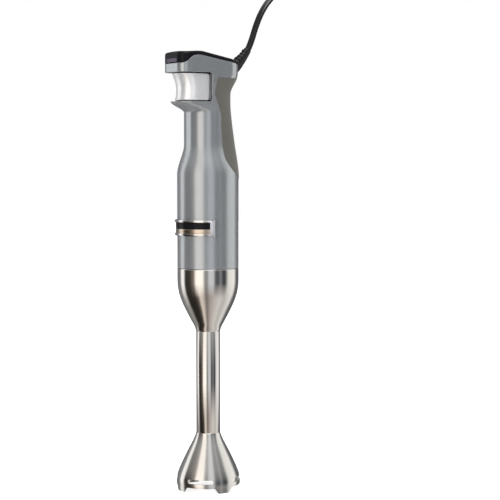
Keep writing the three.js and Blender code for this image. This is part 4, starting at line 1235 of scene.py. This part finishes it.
def bar(name, low, high, inner, outer, start, end, edge=0.35):
    """A bar bent round the body, with rounded long edges."""
    line = [
        (inner, low), (outer - edge, low), (outer - edge * 0.3, low + edge * 0.3),
        (outer, low + edge), (outer, high - edge), (outer - edge * 0.3, high - edge * 0.3),
        (outer - edge, high), (inner, high), (inner, low),
    ]
    piece = turned(name, line, max(3, round((end - start) / 2)), end - start, start)
    bpy.ops.object.mode_set(mode="EDIT")
    bpy.ops.mesh.select_all(action="DESELECT")
    bpy.ops.mesh.select_non_manifold(extend=False)
    bpy.ops.mesh.fill_holes(sides=16)
    bpy.ops.mesh.select_all(action="SELECT")
    bpy.ops.mesh.normals_make_consistent(inside=False)
    bpy.ops.object.mode_set(mode="OBJECT")
    return piece


def joined(name, pieces):
    """Several bodies that were moulded as one piece."""
    bpy.ops.object.select_all(action="DESELECT")
    for piece in pieces:
        piece.select_set(True)
    bpy.context.view_layer.objects.active = pieces[0]
    bpy.ops.object.join()
    whole = bpy.context.object
    whole.name = name
    return whole


reach = BODY_RADIUS + BADGE_PROUD
top = BADGE_BASE + BADGE_TALL
inner_end = BADGE_HALF - BADGE_CLIP
rails = []
for near, far, sunk in RAIL_BARS:
    for low, high in ((BADGE_BASE + near, BADGE_BASE + far), (top - far, top - near)):
        rails.append(bar("rail", low, high, BADGE_FOOT, reach - sunk, -inner_end, inner_end))
# A clip is two bars, side by side: where each starts and ends in degrees, and its trim.
clip_bars = ((inner_end - 2.6, BADGE_HALF - 3.1, 1.2), (BADGE_HALF - 2.9, BADGE_HALF, 0.0))
for side in (-1, 1):
    for near, far, trim in clip_bars:
        ends = sorted((side * near, side * far))
        rails.append(bar("clip", BADGE_BASE + trim, top - trim, BADGE_FOOT, reach, *ends))
badge_frame = joined("badge_chrome_frame", rails)
bright_chrome = Finish("bright_chrome", Metallic=1.0, IOR=2.5)
haze = bright_chrome.noise(bright_chrome.place(), 300, 3)
grain = bright_chrome.noise(bright_chrome.place(), 5200, 2)
bright_chrome.tint(haze, (0.86, 0.865, 0.88), (0.93, 0.93, 0.94))
bright_chrome.feed("Roughness", haze * 0.03 + grain * 0.02 + 0.05)
bright_chrome.bump(grain, 0.000005, 0.5)
finished(badge_frame, bright_chrome, "handle", ("badge_frame",), 30)
inlay = (BADGE_FOOT, BODY_RADIUS + 1.35, 2.4 - inner_end, inner_end - 2.4, 0.15)
field_low = BADGE_BASE + BADGE_SPLIT + 0.1
field = bar("badge_black_field", field_low, top - BADGE_RIM - 0.8, *inlay)
finished(field, black_gloss, "handle", ("badge_field",), 30)
strip_low = BADGE_BASE + BADGE_RIM + 0.8
strip = bar("badge_lower_strip", strip_low, BADGE_BASE + BADGE_SPLIT - 0.1, *inlay)
champagne = brushed("champagne_plate", (0.80, 0.69, 0.58), 0.16)
finished(strip, champagne, "handle", ("badge_strip",), 30)

# ---- Strain relief --------------------------------------------------------------------------
# Rubber sleeve, pushed through the back of the head. It tapers up along the cord, and four short
# ribs on its inner side let it bend.
RELIEF_HEIGHT = HEAD + 5.6
relief_line = [
    (HEAD_REAR + back, RELIEF_HEIGHT + up)
    for back, up in ((-3.0, 0.1), (-0.8, 0.2), (5.2, 2.9), (11.4, 7.5), (16.8, 13.1), (21.0, 19.0))
]
RELIEF_ROOT = 6.6
RELIEF_TIP = 3.7
TEETH = 4
TEETH_FROM = 0.42  # share of the sleeve's length where they start, and that they take up
TEETH_RUN = 0.5
TOOTH_GAP = 0.45
TOOTH_TALL = 0.9
RELIEF_SLIM = 0.92  # its width as a share of its depth
relief_path = smooth_line([(0, y, z) for y, z in relief_line], 0.28)
relief_rows = len(relief_path) - 1
RELIEF_SIDES = 40


def relief_spot(u, v):
    k = round(v * relief_rows)
    here = relief_path[k]
    along = (relief_path[min(k + 1, relief_rows)] - relief_path[max(k - 1, 0)]).normalized()
    lift = Vector((0, -along.z, along.y))
    turn = 2 * math.pi * u
    share = k / relief_rows
    radius = mix(RELIEF_ROOT, RELIEF_TIP, ease(share * 1.05))
    tooth = (share - TEETH_FROM) / TEETH_RUN * TEETH
    if 0 < tooth < TEETH and tooth % 1 > TOOTH_GAP:
        radius += TOOTH_TALL * clamp(2 * math.sin(turn))
    if k in (0, relief_rows):
        radius = 0.02
    sideways = Vector((RELIEF_SLIM, 0, 0))
    return here + sideways * radius * math.cos(turn) + lift * radius * math.sin(turn)


relief = rolled("cord_strain_relief", RELIEF_SIDES, relief_rows, relief_spot)
black_rubber = Finish("black_rubber", Specular_IOR_Level=0.3)
skin = black_rubber.noise(black_rubber.place(), 1500, 3)
black_rubber.tint(skin, (0.005, 0.005, 0.0055), (0.009, 0.009, 0.01))
black_rubber.feed("Roughness", skin * 0.15 + 0.36)
black_rubber.bump(skin, 0.00002)
finished(relief, black_rubber, "handle", ("strain_relief",), 40)

# ---- Inside ---------------------------------------------------------------------------------
# The motor with its brackets and brushes, the switch, the board and the drive keep their packed
# shapes. Each takes the finish of what it is made of.


def moulded(name, tint, rough, metal=0.0, scale=(900, 900, 900)):
    """A tint with a fine uneven grain; the scale stretches the grain into lines or layers."""
    finish = Finish(name, Metallic=metal)
    grain = finish.noise(finish.place(scale), 1.0, 3)
    cloud = finish.noise(finish.place(), 90, 2)
    low = tuple(0.78 * one for one in tint)
    finish.tint(grain * 0.7 + cloud * 0.3, low, tint)
    finish.feed("Roughness", grain * 0.12 + cloud * 0.05 + rough)
    finish.bump(grain, 0.00003)
    return finish


INSIDE = [
    (
        moulded("stacked_laminations", (0.34, 0.35, 0.37), 0.32, 0.9, (40, 40, 9000)),
        ["motor_stator", "armature_core"],
    ),
    (
        moulded("enamelled_copper", (0.72, 0.27, 0.11), 0.22, 1.0, (1400, 1400, 160)),
        [
            "field_coil_right", "field_coil_left", "armature_winding_lower",
            "armature_winding_upper", "commutator",
        ],
    ),
    (
        moulded("sintered_brass", (0.70, 0.53, 0.25), 0.3, 1.0),
        [
            "lower_motor_bushing", "upper_motor_bushing", "upper_arm_bushing",
            "lower_arm_bushing", "brush_holder_right", "brush_holder_left",
        ],
    ),
    (
        brushed("ground_rod", (0.66, 0.665, 0.68), 0.16),
        ["motor_shaft", "drive_shaft", "shaft_coupling"],
    ),
    (
        moulded("spring_wire", (0.42, 0.42, 0.44), 0.25, 1.0, (300, 2600, 300)),
        ["trigger_spring", "button_spring"],
    ),
    (
        moulded("carbon_block", (0.03, 0.03, 0.032), 0.6),
        ["carbon_brush_right", "carbon_brush_left"],
    ),
    (moulded("seal_rubber", (0.016, 0.016, 0.017), 0.55), ["shaft_seal"]),
    (moulded("green_board", (0.02, 0.13, 0.05), 0.35, 0.0, (350, 350, 350)), ["control_board"]),
    (
        moulded("inner_plastic", (0.05, 0.05, 0.053), 0.42),
        [
            "lower_bracket", "upper_bracket", "cooling_fan", "drive_coupling", "arm_collar",
            "nose_socket", "cord_clamp", "suppressor_capacitor", "trigger_switch",
            "trigger_plunger",
        ],
    ),
]
for finish, names in INSIDE:
    for name in names:
        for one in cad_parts[name].material_slots:
            one.material = finish.material
